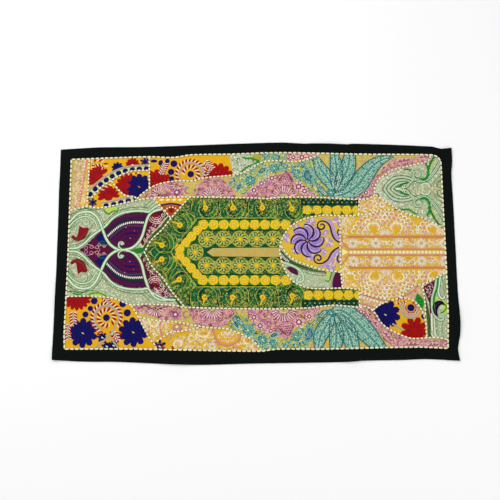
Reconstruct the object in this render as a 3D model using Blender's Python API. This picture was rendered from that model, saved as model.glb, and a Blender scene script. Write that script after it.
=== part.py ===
"""An embroidered patchwork tapestry, lying flat with its face up.

Four strips of black cotton frame a field of sewn patches, and a cream cord is couched over the
seams. The cloth starts as one flat outline, and each seam cuts it in two, as the seams divide
the real one. +X is to the right of the face, +Y is its top edge, and the origin is under its
middle, on the surface that it lies on.
"""

from math import ceil, cos, pi

import bmesh
import bpy
from mathutils import Vector
from mathutils.geometry import interpolate_bezier, intersect_point_line

MM = 0.001

# Driving dimensions
BORDER_THICKNESS = 2.2 * MM
PATCH_THICKNESS = 1.8 * MM
SEAM_GAP = 0.3 * MM
CORD_WIDTH = 4.0 * MM
CORD_HEIGHT = 2.2 * MM
CORD_CLEARANCE = 0.3 * MM

# How finely the shapes are drawn
SEAM_STEP = 15 * MM
CORD_STEP = 17 * MM
FOLD_GRID = 28 * MM
TRACE_STEP = 2 * MM

# Outer edge, clockwise from the top left corner: each side is one soft run between two corners.
# Places are in millimetres from the middle of the cloth.
SIDES = {
    "top": [(-509, 267), (-407, 273), (-293, 274), (62, 286), (127, 283), (142, 284), (236, 281),
            (252, 283), (458, 275), (480, 269), (507, 271)],
    "right": [(507, 271), (508, 236), (504, 202), (506, 143), (508, -94), (510, -180),
              (508, -215), (502, -244), (503, -262), (506, -276)],
    "bottom": [(506, -276), (419, -272), (367, -274), (262, -276), (227, -279), (-17, -283),
               (-156, -286), (-345, -279), (-435, -278), (-509, -274)],
    "left": [(-509, -274), (-510, -247), (-508, -110), (-509, 267)],
}

# Seams in the order in which they divide the cloth. Each end runs to the nearest earlier edge.
SEAMS = {
    "side_left": [(-480, 269), (-479, -56), (-481, -212), (-477, -277)],
    "side_right": [(481, 269), (478, 236), (481, -110), (476, -274)],
    "hem_top": [(-480, 240), (-278, 247), (-217, 245), (-169, 252), (-71, 254), (56, 258),
                (275, 254), (454, 252), (469, 247), (478, 236)],
    "hem_bottom": [(-479, -247), (-296, -247), (8, -252), (53, -247), (158, -247), (403, -242),
                   (477, -245)],
    "corner_right": [(452, 252), (446, 237), (400, 224), (350, 211), (330, 197), (315, 186),
                     (304, 156), (314, 141), (364, 108), (408, 90), (431, 84), (481, 56)],
    "upper_long": [(-480, 105), (-435, 115), (-408, 112), (-381, 115), (-266, 138), (-4, 138),
                   (27, 136), (56, 139), (135, 140), (282, 135), (307, 148)],
    "lower_long": [(-480, -116), (-421, -115), (-359, -121), (-316, -137), (-280, -135),
                   (-203, -139), (-181, -143), (9, -147), (124, -145), (195, -138), (258, -143),
                   (278, -142), (299, -160), (310, -179), (329, -196), (376, -218), (400, -221),
                   (450, -218), (477, -224)],
    "strip": [(-433, 242), (-435, 115)],
    "shoulder": [(-308, 134), (-292, 151), (-256, 173), (-205, 183), (-163, 183), (-138, 190),
                 (-38, 203), (7, 229), (23, 235), (47, 237), (108, 235), (152, 248), (163, 256)],
    "vertical": [(-278, 247), (-276, 162)],
    "arc": [(-436, 132), (-418, 145), (-396, 170), (-330, 207), (-278, 211)],
    "fan_split": [(-376, 184), (-342, 147), (-313, 140), (-308, 136)],
    "joint_a": [(-72, 254), (-60, 199)],
    "joint_b": [(9, 257), (8, 230)],
    "hex_left": [(-173, 139), (-219, 85), (-241, 56), (-270, 26), (-285, -3), (-285, -3),
                 (-265, -39), (-239, -67), (-214, -103), (-181, -142)],
    "triangle_left": [(-266, 138), (-219, 85)],
    "bell": [(364, 108), (319, 105), (291, 97), (227, 91), (164, 92), (102, 74), (68, 37),
             (60, -8), (86, -71), (132, -94), (217, -95), (259, -98), (259, -98), (259, -143)],
    "green_end": [(264, 133), (262, 92)],
    "gold_side": [(214, 92), (213, -38), (217, -95)],
    "gold_bottom": [(61, 13), (90, -19), (152, -44), (215, -55)],
    "yellow_bottom": [(259, -106), (336, -124), (358, -119), (396, -88), (419, -85), (480, -56)],
    "flower_left": [(291, -151), (311, -136), (339, -124)],
    "flower_right": [(350, -121), (369, -119), (400, -130), (421, -167), (425, -219)],
    "stripe_left": [(419, -85), (424, -137), (423, -174)],
    "orange_right": [(-316, -137), (-301, -160), (-267, -221), (-254, -237), (-249, -248)],
    "paisley_top": [(-296, -167), (-259, -175), (-208, -179), (-126, -193), (-72, -198),
                    (-23, -217), (-2, -233), (13, -252)],
    "paisley_split": [(-259, -235), (-215, -206), (-189, -203), (-134, -192)],
    "joint_c": [(-232, -215), (-200, -250)],
}

# Seams that are only sewn, with no cord over them
UNCORDED = ("joint_a", "joint_b", "joint_c")

# The cord round the field is laid first, and the others stop short of the ones before them.
FIRST_CORDS = ("hem_top", "hem_bottom", "side_left", "side_right")

# Each piece of cloth: a place inside it (mm), and its main colour
BLACK = (0.010, 0.014, 0.013)
ORANGE = (0.76, 0.30, 0.02)
GOLD = (0.68, 0.42, 0.09)
MINT = (0.50, 0.62, 0.44)
ROSE = (0.58, 0.26, 0.38)
CREAM = (0.78, 0.56, 0.27)
GREEN = (0.03, 0.17, 0.05)
PALE_TEAL = (0.25, 0.48, 0.46)
PALE_ROSE = (0.76, 0.50, 0.42)
CORD_CREAM = (0.82, 0.76, 0.60)

CLOTHS = [
    # name, x, y, colour
    ("border_top", -16, 270, BLACK),
    ("border_bottom", -16, -265, BLACK),
    ("border_left", -495, 0, BLACK),
    ("border_right", 493, 0, BLACK),
    ("gold_strip", -458, 172, GOLD),
    ("fan_outer", -405, 200, ORANGE),
    ("fan_left", -392, 140, ORANGE),
    ("fan_right", -313, 172, ORANGE),
    ("scroll_band", -170, 216, ORANGE),
    ("mint_wedge", -28, 232, MINT),
    ("teal_sliver", 74, 246, PALE_TEAL),
    ("rose_band_upper", 112, 186, ROSE),
    ("mint_corner", 420, 170, MINT),
    ("cream_small", 297, 115, CREAM),
    ("green_panel", -66, 0, GREEN),
    ("gold_lozenge", 150, 30, GOLD),
    ("mint_crescent", 150, -66, MINT),
    ("cream_main", 368, 0, CREAM),
    ("cream_wedge", 285, -128, PALE_ROSE),
    ("corner_flowers", 372, -170, ORANGE),
    ("pink_wedge", 412, -110, PALE_ROSE),
    ("mint_stripe", 452, -150, MINT),
    ("rose_band_lower", 190, -200, ROSE),
    ("orange_corner", -396, -188, ORANGE),
    ("paisley_upper", -225, -192, CREAM),
    ("paisley_lower", -90, -225, CREAM),
    ("orange_sliver", -236, -235, ORANGE),
    ("mint_left", -370, 0, MINT),
    ("orange_triangle", -218, 118, ORANGE),
]

# Where the cloth lifts off the surface (mm): low round swells at the edges and across the field
SWELLS = [
    # x, y, reach along x, reach along y, height
    (512, -178, 62, 74, 5.0),
    (508, -262, 48, 44, 3.0),
    (508, 206, 50, 66, 3.0),
    (506, 276, 44, 40, 4.0),
    (196, 288, 58, 42, 4.0),
    (-512, -120, 50, 76, 3.5),
    (-512, -280, 50, 46, 4.0),
    (-512, 150, 42, 64, 2.0),
    (-196, -290, 66, 46, 3.0),
    (246, -284, 56, 42, 3.0),
    (-120, 206, 84, 38, 2.0),
    (210, 170, 90, 48, 2.0),
    (392, 140, 64, 50, 2.0),
    (-380, -60, 80, 60, 2.0),
    (60, -196, 96, 44, 2.0),
    (340, 20, 70, 40, 1.5),
]


def clear_scene():
    for item in list(bpy.data.objects):
        bpy.data.objects.remove(item, do_unlink=True)


def new_collection(name):
    collection = bpy.data.collections.new(name)
    bpy.context.scene.collection.children.link(collection)
    return collection


def cloth_material(name, colour, roughness=0.9):
    material = bpy.data.materials.new(name)
    material.use_nodes = True
    shader = material.node_tree.nodes["Principled BSDF"]
    shader.inputs["Base Color"].default_value = (*colour, 1)
    shader.inputs["Roughness"].default_value = roughness
    shader.inputs["Metallic"].default_value = 0
    return material


def places(run):
    return [Vector((x * MM, y * MM, 0)) for x, y in run]


def soft_line(run, step):
    """Points along a smooth line through the run's places. A place that is written twice is a corner."""
    stops = places(run)
    line = [stops[0]]
    for i in range(len(stops) - 1):
        start, end = stops[i], stops[i + 1]
        span = (end - start).length
        if span == 0:
            continue
        before = stops[max(i - 1, 0)]
        after = stops[min(i + 2, len(stops) - 1)]
        leave = (end - before).normalized() if before != start else (end - start) / span
        arrive = (after - start).normalized() if after != end else (end - start) / span
        count = max(2, ceil(span / step) + 1)
        reach = span / 3
        line += interpolate_bezier(start, start + leave * reach, end - arrive * reach, end, count)[1:]
    return line


def lift(place):
    """How far the cloth rises from the surface at a place."""
    height = 0
    for x, y, reach_x, reach_y, top in SWELLS:
        away = Vector(((place.x / MM - x) / reach_x, (place.y / MM - y) / reach_y)).length
        if away < 1:
            height += top * MM * cos(away * pi / 2) ** 2
    return height


def inside(face, place):
    """Whether a place lies inside a face's outline, by counting the edges to its right."""
    crossings = 0
    for edge in face.edges:
        a, b = edge.verts[0].co, edge.verts[1].co
        if (a.y > place.y) != (b.y > place.y):
            crossings += place.x < a.x + (place.y - a.y) * (b.x - a.x) / (b.y - a.y)
    return crossings % 2 == 1


def anchor(cloth, place):
    """A vertex on the edge nearest to a place, where a seam starts or ends."""
    nearest = None
    for edge in cloth.edges:
        a, b = edge.verts[0].co, edge.verts[1].co
        share = min(max(intersect_point_line(place, a, b)[1], 0), 1)
        spot = a.lerp(b, share)
        if nearest is None or (spot - place).length < nearest[0]:
            nearest = ((spot - place).length, edge, share, spot)
    _, edge, share, spot = nearest
    for vertex in edge.verts:
        if (vertex.co - spot).length < SEAM_STEP / 5:
            return vertex
    _, vertex = bmesh.utils.edge_split(edge, edge.verts[0], share)
    vertex.co = spot
    return vertex


def cut_seam(cloth, run):
    """Cuts the piece of cloth that a seam crosses in two along it."""
    line = soft_line(run, SEAM_STEP)
    start, end = anchor(cloth, line[0]), anchor(cloth, line[-1])
    middle = line[len(line) // 2] if len(line) > 2 else (line[0] + line[-1]) / 2
    for face in start.link_faces:
        if end in face.verts and inside(face, middle):
            bmesh.utils.face_split(face, start, end, coords=line[1:-1])
            return
    raise ValueError(f"no piece of cloth holds both ends of the seam at {run[0]}")


def cut_out_cloths():
    """The outlines of the pieces of cloth, each as a list of places."""
    cloth = bmesh.new()
    rim = []
    for side in SIDES.values():
        rim += soft_line(side, SEAM_STEP)[:-1]
    cloth.faces.new([cloth.verts.new(place) for place in rim])
    for run in SEAMS.values():
        cut_seam(cloth, run)
    outlines = {}
    for name, x, y, _ in CLOTHS:
        spot = Vector((x * MM, y * MM, 0))
        face = next(f for f in cloth.faces if inside(f, spot))
        outlines[name] = [v.co.copy() for v in face.verts]
    cloth.free()
    return outlines


def grid_cuts(sheet):
    """Divides a flat sheet by a square grid, so that it can follow the swells."""
    for axis in (Vector((1, 0, 0)), Vector((0, 1, 0))):
        along = [v.co.dot(axis) for v in sheet.verts]
        first = ceil(min(along) / FOLD_GRID)
        for line in range(first, ceil(max(along) / FOLD_GRID)):
            everything = sheet.verts[:] + sheet.edges[:] + sheet.faces[:]
            bmesh.ops.bisect_plane(
                sheet, geom=everything, dist=1e-6, plane_co=axis * line * FOLD_GRID, plane_no=axis
            )


def sheet_mesh(name, outline, thickness):
    """One piece of cloth: its outline less half the seam's gap, laid over the swells."""
    sheet = bmesh.new()
    face = sheet.faces.new([sheet.verts.new(place) for place in outline])
    rim = bmesh.ops.inset_region(
        sheet, faces=[face], thickness=SEAM_GAP / 2, use_even_offset=True, use_boundary=True
    )
    bmesh.ops.delete(sheet, geom=rim["faces"], context="FACES")
    grid_cuts(sheet)
    bmesh.ops.triangulate(sheet, faces=sheet.faces[:])
    for vertex in sheet.verts:
        vertex.co.z = lift(vertex.co)
    raised = bmesh.ops.extrude_face_region(sheet, geom=sheet.faces[:])
    top = [item for item in raised["geom"] if isinstance(item, bmesh.types.BMVert)]
    bmesh.ops.translate(sheet, verts=top, vec=(0, 0, thickness))
    bmesh.ops.recalc_face_normals(sheet, faces=sheet.faces[:])
    mesh = bpy.data.meshes.new(name)
    sheet.to_mesh(mesh)
    sheet.free()
    return mesh


def make_cloths(parts):
    outlines = cut_out_cloths()
    for name, _, _, colour in CLOTHS:
        thickness = BORDER_THICKNESS if name.startswith("border") else PATCH_THICKNESS
        mesh = sheet_mesh(name, outlines[name], thickness)
        mesh.materials.append(cloth_material(name, colour))
        parts.objects.link(bpy.data.objects.new(name, mesh))


def cord_section(guides):
    """The cord's cross-section: flat underneath, where it is pressed on the cloth, and round on top."""
    half, top = CORD_WIDTH / 2, CORD_HEIGHT
    corners = [(-half, top * 0.45), (-half * 0.45, top), (half * 0.45, top), (half, top * 0.45),
               (half * 0.7, 0), (-half * 0.7, 0)]
    curve = bpy.data.curves.new("cord_section", "CURVE")
    curve.dimensions = "2D"
    spline = curve.splines.new("POLY")
    spline.points.add(len(corners) - 1)
    for point, (x, y) in zip(spline.points, corners):
        point.co = (x, y, 0, 1)
    spline.use_cyclic_u = True
    section = bpy.data.objects.new("cord_section", curve)
    section.hide_render = True
    section.display_type = "WIRE"
    guides.objects.link(section)
    return section


def distance_to(place, line):
    nearest = []
    for a, b in zip(line, line[1:]):
        share = min(max(intersect_point_line(place, a, b)[1], 0), 1)
        nearest.append((a.lerp(b, share) - place).length)
    return min(nearest)


def clear_stretch(line, laid):
    """The longest stretch of a line that keeps a cord's width away from every cord before it."""
    needed = CORD_WIDTH + CORD_CLEARANCE
    best, current = [], []
    for place in line:
        if all(distance_to(place, other) >= needed for other in laid):
            current.append(place)
            best = max(best, current, key=len)
        else:
            current = []
    return best


def spaced(line, step):
    """Evenly spaced places along a finely drawn line."""
    lengths = [0]
    for a, b in zip(line, line[1:]):
        lengths.append(lengths[-1] + (b - a).length)
    count = max(1, round(lengths[-1] / step))
    picked, i = [], 0
    for k in range(count + 1):
        wanted = lengths[-1] * k / count
        while i < len(line) - 2 and lengths[i + 1] < wanted:
            i += 1
        share = (wanted - lengths[i]) / (lengths[i + 1] - lengths[i])
        picked.append(line[i].lerp(line[i + 1], min(max(share, 0), 1)))
    return picked


def make_cords(parts, guides):
    section = cord_section(guides)
    material = cloth_material("couched_cord", CORD_CREAM, 0.8)
    order = list(FIRST_CORDS) + [n for n in SEAMS if n not in FIRST_CORDS + UNCORDED]
    laid = []
    for name in order:
        line = clear_stretch(soft_line(SEAMS[name], TRACE_STEP), laid)
        laid.append(line)
        curve = bpy.data.curves.new(f"cord_{name}", "CURVE")
        curve.dimensions = "3D"
        curve.twist_mode = "Z_UP"
        curve.bevel_mode = "OBJECT"
        curve.bevel_object = section
        curve.use_fill_caps = True
        route = spaced(line, CORD_STEP)
        spline = curve.splines.new("POLY")
        spline.points.add(len(route) - 1)
        for point, place in zip(spline.points, route):
            height = lift(place) + BORDER_THICKNESS + CORD_CLEARANCE
            point.co = (place.x, place.y, height, 1)
        curve.materials.append(material)
        parts.objects.link(bpy.data.objects.new(f"cord_{name}", curve))


def main():
    clear_scene()
    parts = new_collection("embroidered_tapestry")
    guides = new_collection("guides")
    make_cloths(parts)
    make_cords(parts, guides)


main()
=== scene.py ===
# %% [markdown]
# # An embroidered patchwork tapestry
# This lesson dresses the solids of a tapestry: black cotton strips round a field of sewn patches,
# each patch cut from an old embroidered or brocade cloth, with a cream cord sewn over the seams.
# The solids give the outline, the seams and the swells, so everything here starts from them.

# %% Load the solids
from math import ceil, cos, degrees, hypot, pi, radians, sin, tau
from random import Random

import bmesh
import bpy
import numpy as np
from mathutils import Matrix, Vector
from mathutils.geometry import interpolate_bezier


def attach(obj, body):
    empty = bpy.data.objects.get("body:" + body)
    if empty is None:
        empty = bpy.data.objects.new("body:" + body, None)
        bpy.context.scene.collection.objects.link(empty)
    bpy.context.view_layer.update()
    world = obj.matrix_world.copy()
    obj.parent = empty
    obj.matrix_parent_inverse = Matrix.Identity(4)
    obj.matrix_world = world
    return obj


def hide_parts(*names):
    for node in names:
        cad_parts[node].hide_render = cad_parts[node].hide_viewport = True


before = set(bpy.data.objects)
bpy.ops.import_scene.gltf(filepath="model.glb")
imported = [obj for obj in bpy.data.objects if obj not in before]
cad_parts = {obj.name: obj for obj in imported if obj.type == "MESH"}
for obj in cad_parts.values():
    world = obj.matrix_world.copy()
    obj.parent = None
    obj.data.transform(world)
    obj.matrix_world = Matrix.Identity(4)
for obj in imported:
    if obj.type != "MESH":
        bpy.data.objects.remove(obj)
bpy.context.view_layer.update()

MM = 0.001


def in_scene(name, data):
    """A new object that holds some data, linked to the scene."""
    made = bpy.data.objects.new(name, data)
    bpy.context.scene.collection.objects.link(made)
    return made


# %% [markdown]
# ## The camera
# The photograph looks down on the cloth from a little in front of it, which makes the lower edge
# look longer than the upper one. A 50 mm lens at 1.77 m does the same.

# %% Camera
CAMERA_DISTANCE = 1.769
CAMERA_ELEVATION = radians(81.58)
AIM = Vector((-0.0166, 0.0028, 0.001))

camera = in_scene("camera", bpy.data.cameras.new("camera"))
camera.data.lens = 50
camera.data.sensor_width = 36
away = Vector((0, -cos(CAMERA_ELEVATION), sin(CAMERA_ELEVATION)))
camera.location = AIM + away * CAMERA_DISTANCE
camera.rotation_euler = (-away).to_track_quat("-Z", "Y").to_euler()
bpy.context.scene.camera = camera
bpy.context.scene.view_settings.view_transform = "Standard"
print("camera at", [round(v, 3) for v in camera.location])

# %% [markdown]
# ## Light and floor
# Plain soft studio light: a pale world, one wide lamp from the upper left to show the relief of
# the stitches, and a weaker one from the right.

# %% Light and floor
LAMPS = [
    # name, place, size, power
    ("key", (-1.3, 1.1, 1.9), 1.4, 26),
    ("fill", (1.6, -0.9, 1.7), 1.6, 9),
]
WORLD_STRENGTH = 0.72
FLOOR_GREY = 0.93
FLOOR_REACH = 6
FLOOR_DROP = -0.0005

world = bpy.data.worlds.new("studio")
world.use_nodes = True
world.node_tree.nodes["Background"].inputs["Color"].default_value = (1, 1, 1, 1)
world.node_tree.nodes["Background"].inputs["Strength"].default_value = WORLD_STRENGTH
bpy.context.scene.world = world

for name, place, size, power in LAMPS:
    lamp = in_scene(name, bpy.data.lights.new(name, "AREA"))
    lamp.data.size = size
    lamp.data.energy = power
    lamp.location = place
    lamp.rotation_euler = (-Vector(place)).to_track_quat("-Z", "Y").to_euler()

floor_shape = bmesh.new()
bmesh.ops.create_grid(floor_shape, x_segments=1, y_segments=1, size=FLOOR_REACH)
bmesh.ops.translate(floor_shape, verts=floor_shape.verts, vec=(0, 0, FLOOR_DROP))
floor = in_scene("floor", bpy.data.meshes.new("floor"))
floor_shape.to_mesh(floor.data)
floor_shape.free()
floor_paint = bpy.data.materials.new("white_floor")
floor_paint.use_nodes = True
paint = floor_paint.node_tree.nodes["Principled BSDF"].inputs
paint["Base Color"].default_value = (FLOOR_GREY, FLOOR_GREY, FLOOR_GREY, 1)
paint["Roughness"].default_value = 0.8
floor.data.materials.append(floor_paint)
print("lamps:", len(LAMPS))

# %% [markdown]
# ## Shader maths
# A finish is easier to read as arithmetic than as a drawing of wires. `Wire` wraps one socket, so
# that `weave * 0.5 + 0.5` adds two Math nodes, and `Finish` makes the material and any other node.

# %% Shader maths
DULL_SHINE = 0.06


class Wire:
    """One output socket, with arithmetic that adds Math nodes."""

    def __init__(self, finish, socket):
        self.finish, self.socket = finish, socket

    def maths(self, operation, *values):
        return self.finish.node("ShaderNodeMath", {"operation": operation}, dict(enumerate(values)))

    def __add__(self, other):
        return self.maths("ADD", self, other)

    def __mul__(self, other):
        return self.maths("MULTIPLY", self, other)

    def sine(self):
        return self.maths("SINE", self)

    __radd__, __rmul__ = __add__, __mul__


class Finish:
    """A material whose nodes are added by expressions."""

    def __init__(self, name, roughness, sheen):
        self.material = bpy.data.materials.new(name)
        self.material.use_nodes = True
        self.tree = self.material.node_tree
        self.shader = self.tree.nodes["Principled BSDF"]
        self.shader.inputs["Roughness"].default_value = roughness
        self.shader.inputs["Sheen Weight"].default_value = sheen
        self.shader.inputs["Specular IOR Level"].default_value = DULL_SHINE
        self.place = self.node("ShaderNodeTexCoord", output="Object")

    def node(self, kind, settings=None, inputs=None, output=0):
        made = self.tree.nodes.new(kind)
        for key, value in (settings or {}).items():
            setattr(made, key, value)
        for key, value in (inputs or {}).items():
            if isinstance(value, Wire):
                self.tree.links.new(value.socket, made.inputs[key])
            else:
                made.inputs[key].default_value = value
        return Wire(self, made.outputs[output])

    def noise(self, scale, detail, roughness=0.5):
        values = {"Vector": self.place, "Scale": scale, "Detail": detail, "Roughness": roughness}
        return self.node("ShaderNodeTexNoise", inputs=values)

    def blend(self, share, first, second):
        """A colour between two: each is a tuple or a Wire."""
        pair = [c if isinstance(c, Wire) else (*c, 1) for c in (first, second)]
        inputs = {0: share, 6: pair[0], 7: pair[1]}
        return self.node("ShaderNodeMix", {"data_type": "RGBA"}, inputs, output=2)

    def colour(self, wire):
        self.tree.links.new(wire.socket, self.shader.inputs["Base Color"])

    def bump(self, height, depth, strength):
        made = self.node("ShaderNodeBump", inputs={"Height": height, "Distance": depth, "Strength": strength})
        self.tree.links.new(made.socket, self.shader.inputs["Normal"])


def shade(colour, factor):
    return tuple(min(c * factor, 1) for c in colour)


print("shader maths ready")

# %% [markdown]
# ## Cloth finishes
# All the grounds are plain weaves seen from a step away: a fine grid of threads in the bump, the
# same grid darkening the colour as painted shade, soft blotches from dye and handling, and, on
# brocade, small flecks of a second thread. Threads this fine would take millions of faces, so
# they are left to the shader.

# %% Cloth finishes
THREAD_PITCH = 0.8 * MM
WEAVE_DEPTH = 0.12 * MM
RIDGE_DEPTH = 0.18 * MM
FLECK_BLUR = 0.04


def weave_height(finish):
    """Over and under of a plain weave, from two crossed sine waves."""
    parted = finish.node("ShaderNodeSeparateXYZ", inputs={0: finish.place})
    across, along = (Wire(finish, socket) for socket in parted.socket.node.outputs[:2])
    turns = tau / THREAD_PITCH
    return (across * turns).sine() * (along * turns).sine()


def cloth_finish(name, colour, fleck, fleck_size, fleck_share):
    """A woven ground: blotches of the colour, painted shade along the weave, and flecks of a second thread on
    brocade.
    """
    finish = Finish(name, 0.85, 0.0)
    ground = finish.blend(finish.noise(55, 3), shade(colour, 0.82), shade(colour, 1.15))
    weave = weave_height(finish)
    # Painted shade: the weave's crossed sine waves darken the ground in a fine grid, standing in for the
    # shade between its threads.
    ground = finish.blend(weave * 0.5 + 0.5, ground, finish.blend(0.35, ground, shade(colour, 0.6)))
    if fleck:
        grain = finish.noise(1.0 / (fleck_size * MM), 2.5, 0.65)
        edges = {"From Min": 1 - fleck_share - FLECK_BLUR, "From Max": 1 - fleck_share + FLECK_BLUR}
        mask = finish.node("ShaderNodeMapRange", inputs={"Value": grain, **edges})
        ground = finish.blend(mask, ground, fleck)
    finish.colour(ground)
    finish.bump(weave + finish.noise(900, 1) * 0.6, WEAVE_DEPTH, 0.6)
    return finish.material


def thread_finish(name, colour, roughness=0.55):
    """Floss laid side by side: fine slanting ridges, with a painted highlight on their crests."""
    finish = Finish(name, roughness, 0.04)
    ridges = finish.node(
        "ShaderNodeTexWave",
        {"wave_type": "BANDS", "bands_direction": "DIAGONAL"},
        {"Vector": finish.place, "Scale": 330.0, "Distortion": 3.0, "Detail": 1.0, "Detail Scale": 1.5},
        output=1,
    )
    worn = finish.noise(160, 2)
    # Painted highlight: the ridges lighten the colour on their crests, mixed with blotches of random tone.
    finish.colour(finish.blend(ridges * 0.45 + worn * 0.55, shade(colour, 0.7), shade(colour, 1.22)))
    finish.bump(ridges, RIDGE_DEPTH, 0.5)
    return finish.material


print("cloth finishes ready")

# %% [markdown]
# ## The lie of the cloth
# The cloth isn't quite flat: low round swells lift it at the edges, as in the solids. The same
# table is used for every patch, cord and stitch, so that nothing floats or sinks.

# %% The lie of the cloth
PATCH_TOP = 1.8 * MM
BORDER_TOP = 2.2 * MM
SEAM_DIP = 0.7 * MM
SEAM_DIP_REACH = 7 * MM
PUCKER_HEIGHT = 0.35 * MM
PUCKER_REACH = 18 * MM
UPWARD = 0.3
WELD = 0.01 * MM
SWELLS = np.array([
    # x, y, reach along x, reach along y, height, all in millimetres
    (512, -178, 62, 74, 5.0), (508, -262, 48, 44, 3.0), (508, 206, 50, 66, 3.0),
    (506, 276, 44, 40, 4.0), (196, 288, 58, 42, 4.0), (-512, -120, 50, 76, 3.5),
    (-512, -280, 50, 46, 4.0), (-512, 150, 42, 64, 2.0), (-196, -290, 66, 46, 3.0),
    (246, -284, 56, 42, 3.0), (-120, 206, 84, 38, 2.0), (210, 170, 90, 48, 2.0),
    (392, 140, 64, 50, 2.0), (-380, -60, 80, 60, 2.0), (60, -196, 96, 44, 2.0),
    (340, 20, 70, 40, 1.5),
])


def lift(xy):
    """How far the cloth rises from the floor at places in metres, as a column of heights."""
    height = np.zeros(len(xy))
    for x, y, reach_x, reach_y, top in SWELLS:
        away = np.hypot((xy[:, 0] / MM - x) / reach_x, (xy[:, 1] / MM - y) / reach_y)
        height += np.where(away < 1, top * MM * np.cos(away.clip(0, 1) * pi / 2) ** 2, 0)
    return height


def rim_of(node):
    """The outline of a cloth node's upper face, in order, as an array of places."""
    shape = bmesh.new()
    shape.from_mesh(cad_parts[node].data)
    bmesh.ops.remove_doubles(shape, verts=shape.verts, dist=WELD)
    shape.normal_update()
    under = [face for face in shape.faces if face.normal.z < UPWARD]
    bmesh.ops.delete(shape, geom=under, context="FACES")
    links = {}
    for edge in shape.edges:
        if edge.is_boundary:
            for a, b in (edge.verts, reversed(edge.verts)):
                links.setdefault(a, []).append(b)
    order = [next(iter(links))]
    after = links[order[0]][0]
    while after is not order[0]:
        order.append(after)
        after = next(v for v in links[after] if v is not order[-2])
    rim = np.array([v.co[:2] for v in order])
    shape.free()
    return rim


def rim_distance(xy, rim):
    """How far each place is from an outline, and the nearest place on it."""
    starts, ends = rim, np.roll(rim, -1, axis=0)
    best = np.full(len(xy), np.inf)
    spot = np.array(xy)
    for a, d in zip(starts, ends - starts):
        share = (((xy - a) @ d) / max(d @ d, 1e-12)).clip(0, 1)
        near = a + share[:, None] * d
        gap = np.hypot(*(xy - near).T)
        nearer = gap < best
        best[nearer] = gap[nearer]
        spot[nearer] = near[nearer]
    return best, spot


def within(xy, rim):
    """Which places lie inside an outline."""
    found = np.zeros(len(xy), bool)
    for (ax, ay), (bx, by) in zip(rim, np.roll(rim, -1, axis=0)):
        if ay != by:
            crosses = (ay > xy[:, 1]) != (by > xy[:, 1])
            found ^= crosses & (xy[:, 0] < ax + (xy[:, 1] - ay) * (bx - ax) / (by - ay))
    return found


def surface(xy, gap, top):
    """Height of a patch's face: its swells, the dip where it is sewn down, and small puckers."""
    dip = SEAM_DIP * np.exp(-((gap / SEAM_DIP_REACH) ** 2))
    x, y = xy[:, 0] / MM, xy[:, 1] / MM
    pucker = np.sin(x / 9.1 + 2 * np.sin(y / 17)) * np.sin(y / 7.7 + 1.5 * np.sin(x / 23))
    return lift(xy) + top - dip + PUCKER_HEIGHT * pucker * np.exp(-gap / PUCKER_REACH)


RIMS = {name: rim_of(name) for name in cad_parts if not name.startswith("cord_")}
print("outlines of", len(RIMS), "cloths, with", sum(len(r) for r in RIMS.values()), "places")

# %% [markdown]
# ## Sheets of cloth
# Each sheet is its solid's own outline, cut by a fine square grid so that it can bend, raised on
# the swells, and given its thickness. The solid itself has too few faces for its upper side to
# follow the puckers.

# %% Sheets of cloth
SHEET_GRID = 5 * MM
CLOTH_CREASE = radians(50)


def cut_grid(shape, step):
    """Divides flat faces by a square grid."""
    for axis in (Vector((1, 0, 0)), Vector((0, 1, 0))):
        spread = [v.co.dot(axis) for v in shape.verts]
        for line in range(ceil(min(spread) / step), ceil(max(spread) / step)):
            everything = shape.verts[:] + shape.edges[:] + shape.faces[:]
            place = axis * line * step
            bmesh.ops.bisect_plane(shape, geom=everything, dist=1e-6, plane_co=place, plane_no=axis)


def sheet_of(node, material):
    """The cloth that stands for one cloth node."""
    rim = RIMS[node]
    top = BORDER_TOP if node.startswith("border") else PATCH_TOP
    shape = bmesh.new()
    shape.faces.new([shape.verts.new((x, y, 0)) for x, y in rim])
    cut_grid(shape, SHEET_GRID)
    raised = bmesh.ops.extrude_face_region(shape, geom=shape.faces[:])
    upper = [v for v in raised["geom"] if isinstance(v, bmesh.types.BMVert)]
    lower = list(set(shape.verts) - set(upper))
    above = np.array([v.co[:2] for v in upper])
    for verts, heights in (
        (upper, surface(above, rim_distance(above, rim)[0], top)),
        (lower, lift(np.array([v.co[:2] for v in lower]))),
    ):
        for vertex, height in zip(verts, heights):
            vertex.co.z = height
    bmesh.ops.recalc_face_normals(shape, faces=shape.faces[:])
    mesh = bpy.data.meshes.new(f"{node}_cloth")
    shape.to_mesh(mesh)
    shape.free()
    mesh.materials.append(material)
    mesh.shade_smooth()
    mesh.set_sharp_from_angle(angle=CLOTH_CREASE)
    piece = in_scene(mesh.name, mesh)
    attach(piece, "root")
    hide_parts(node)


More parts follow.
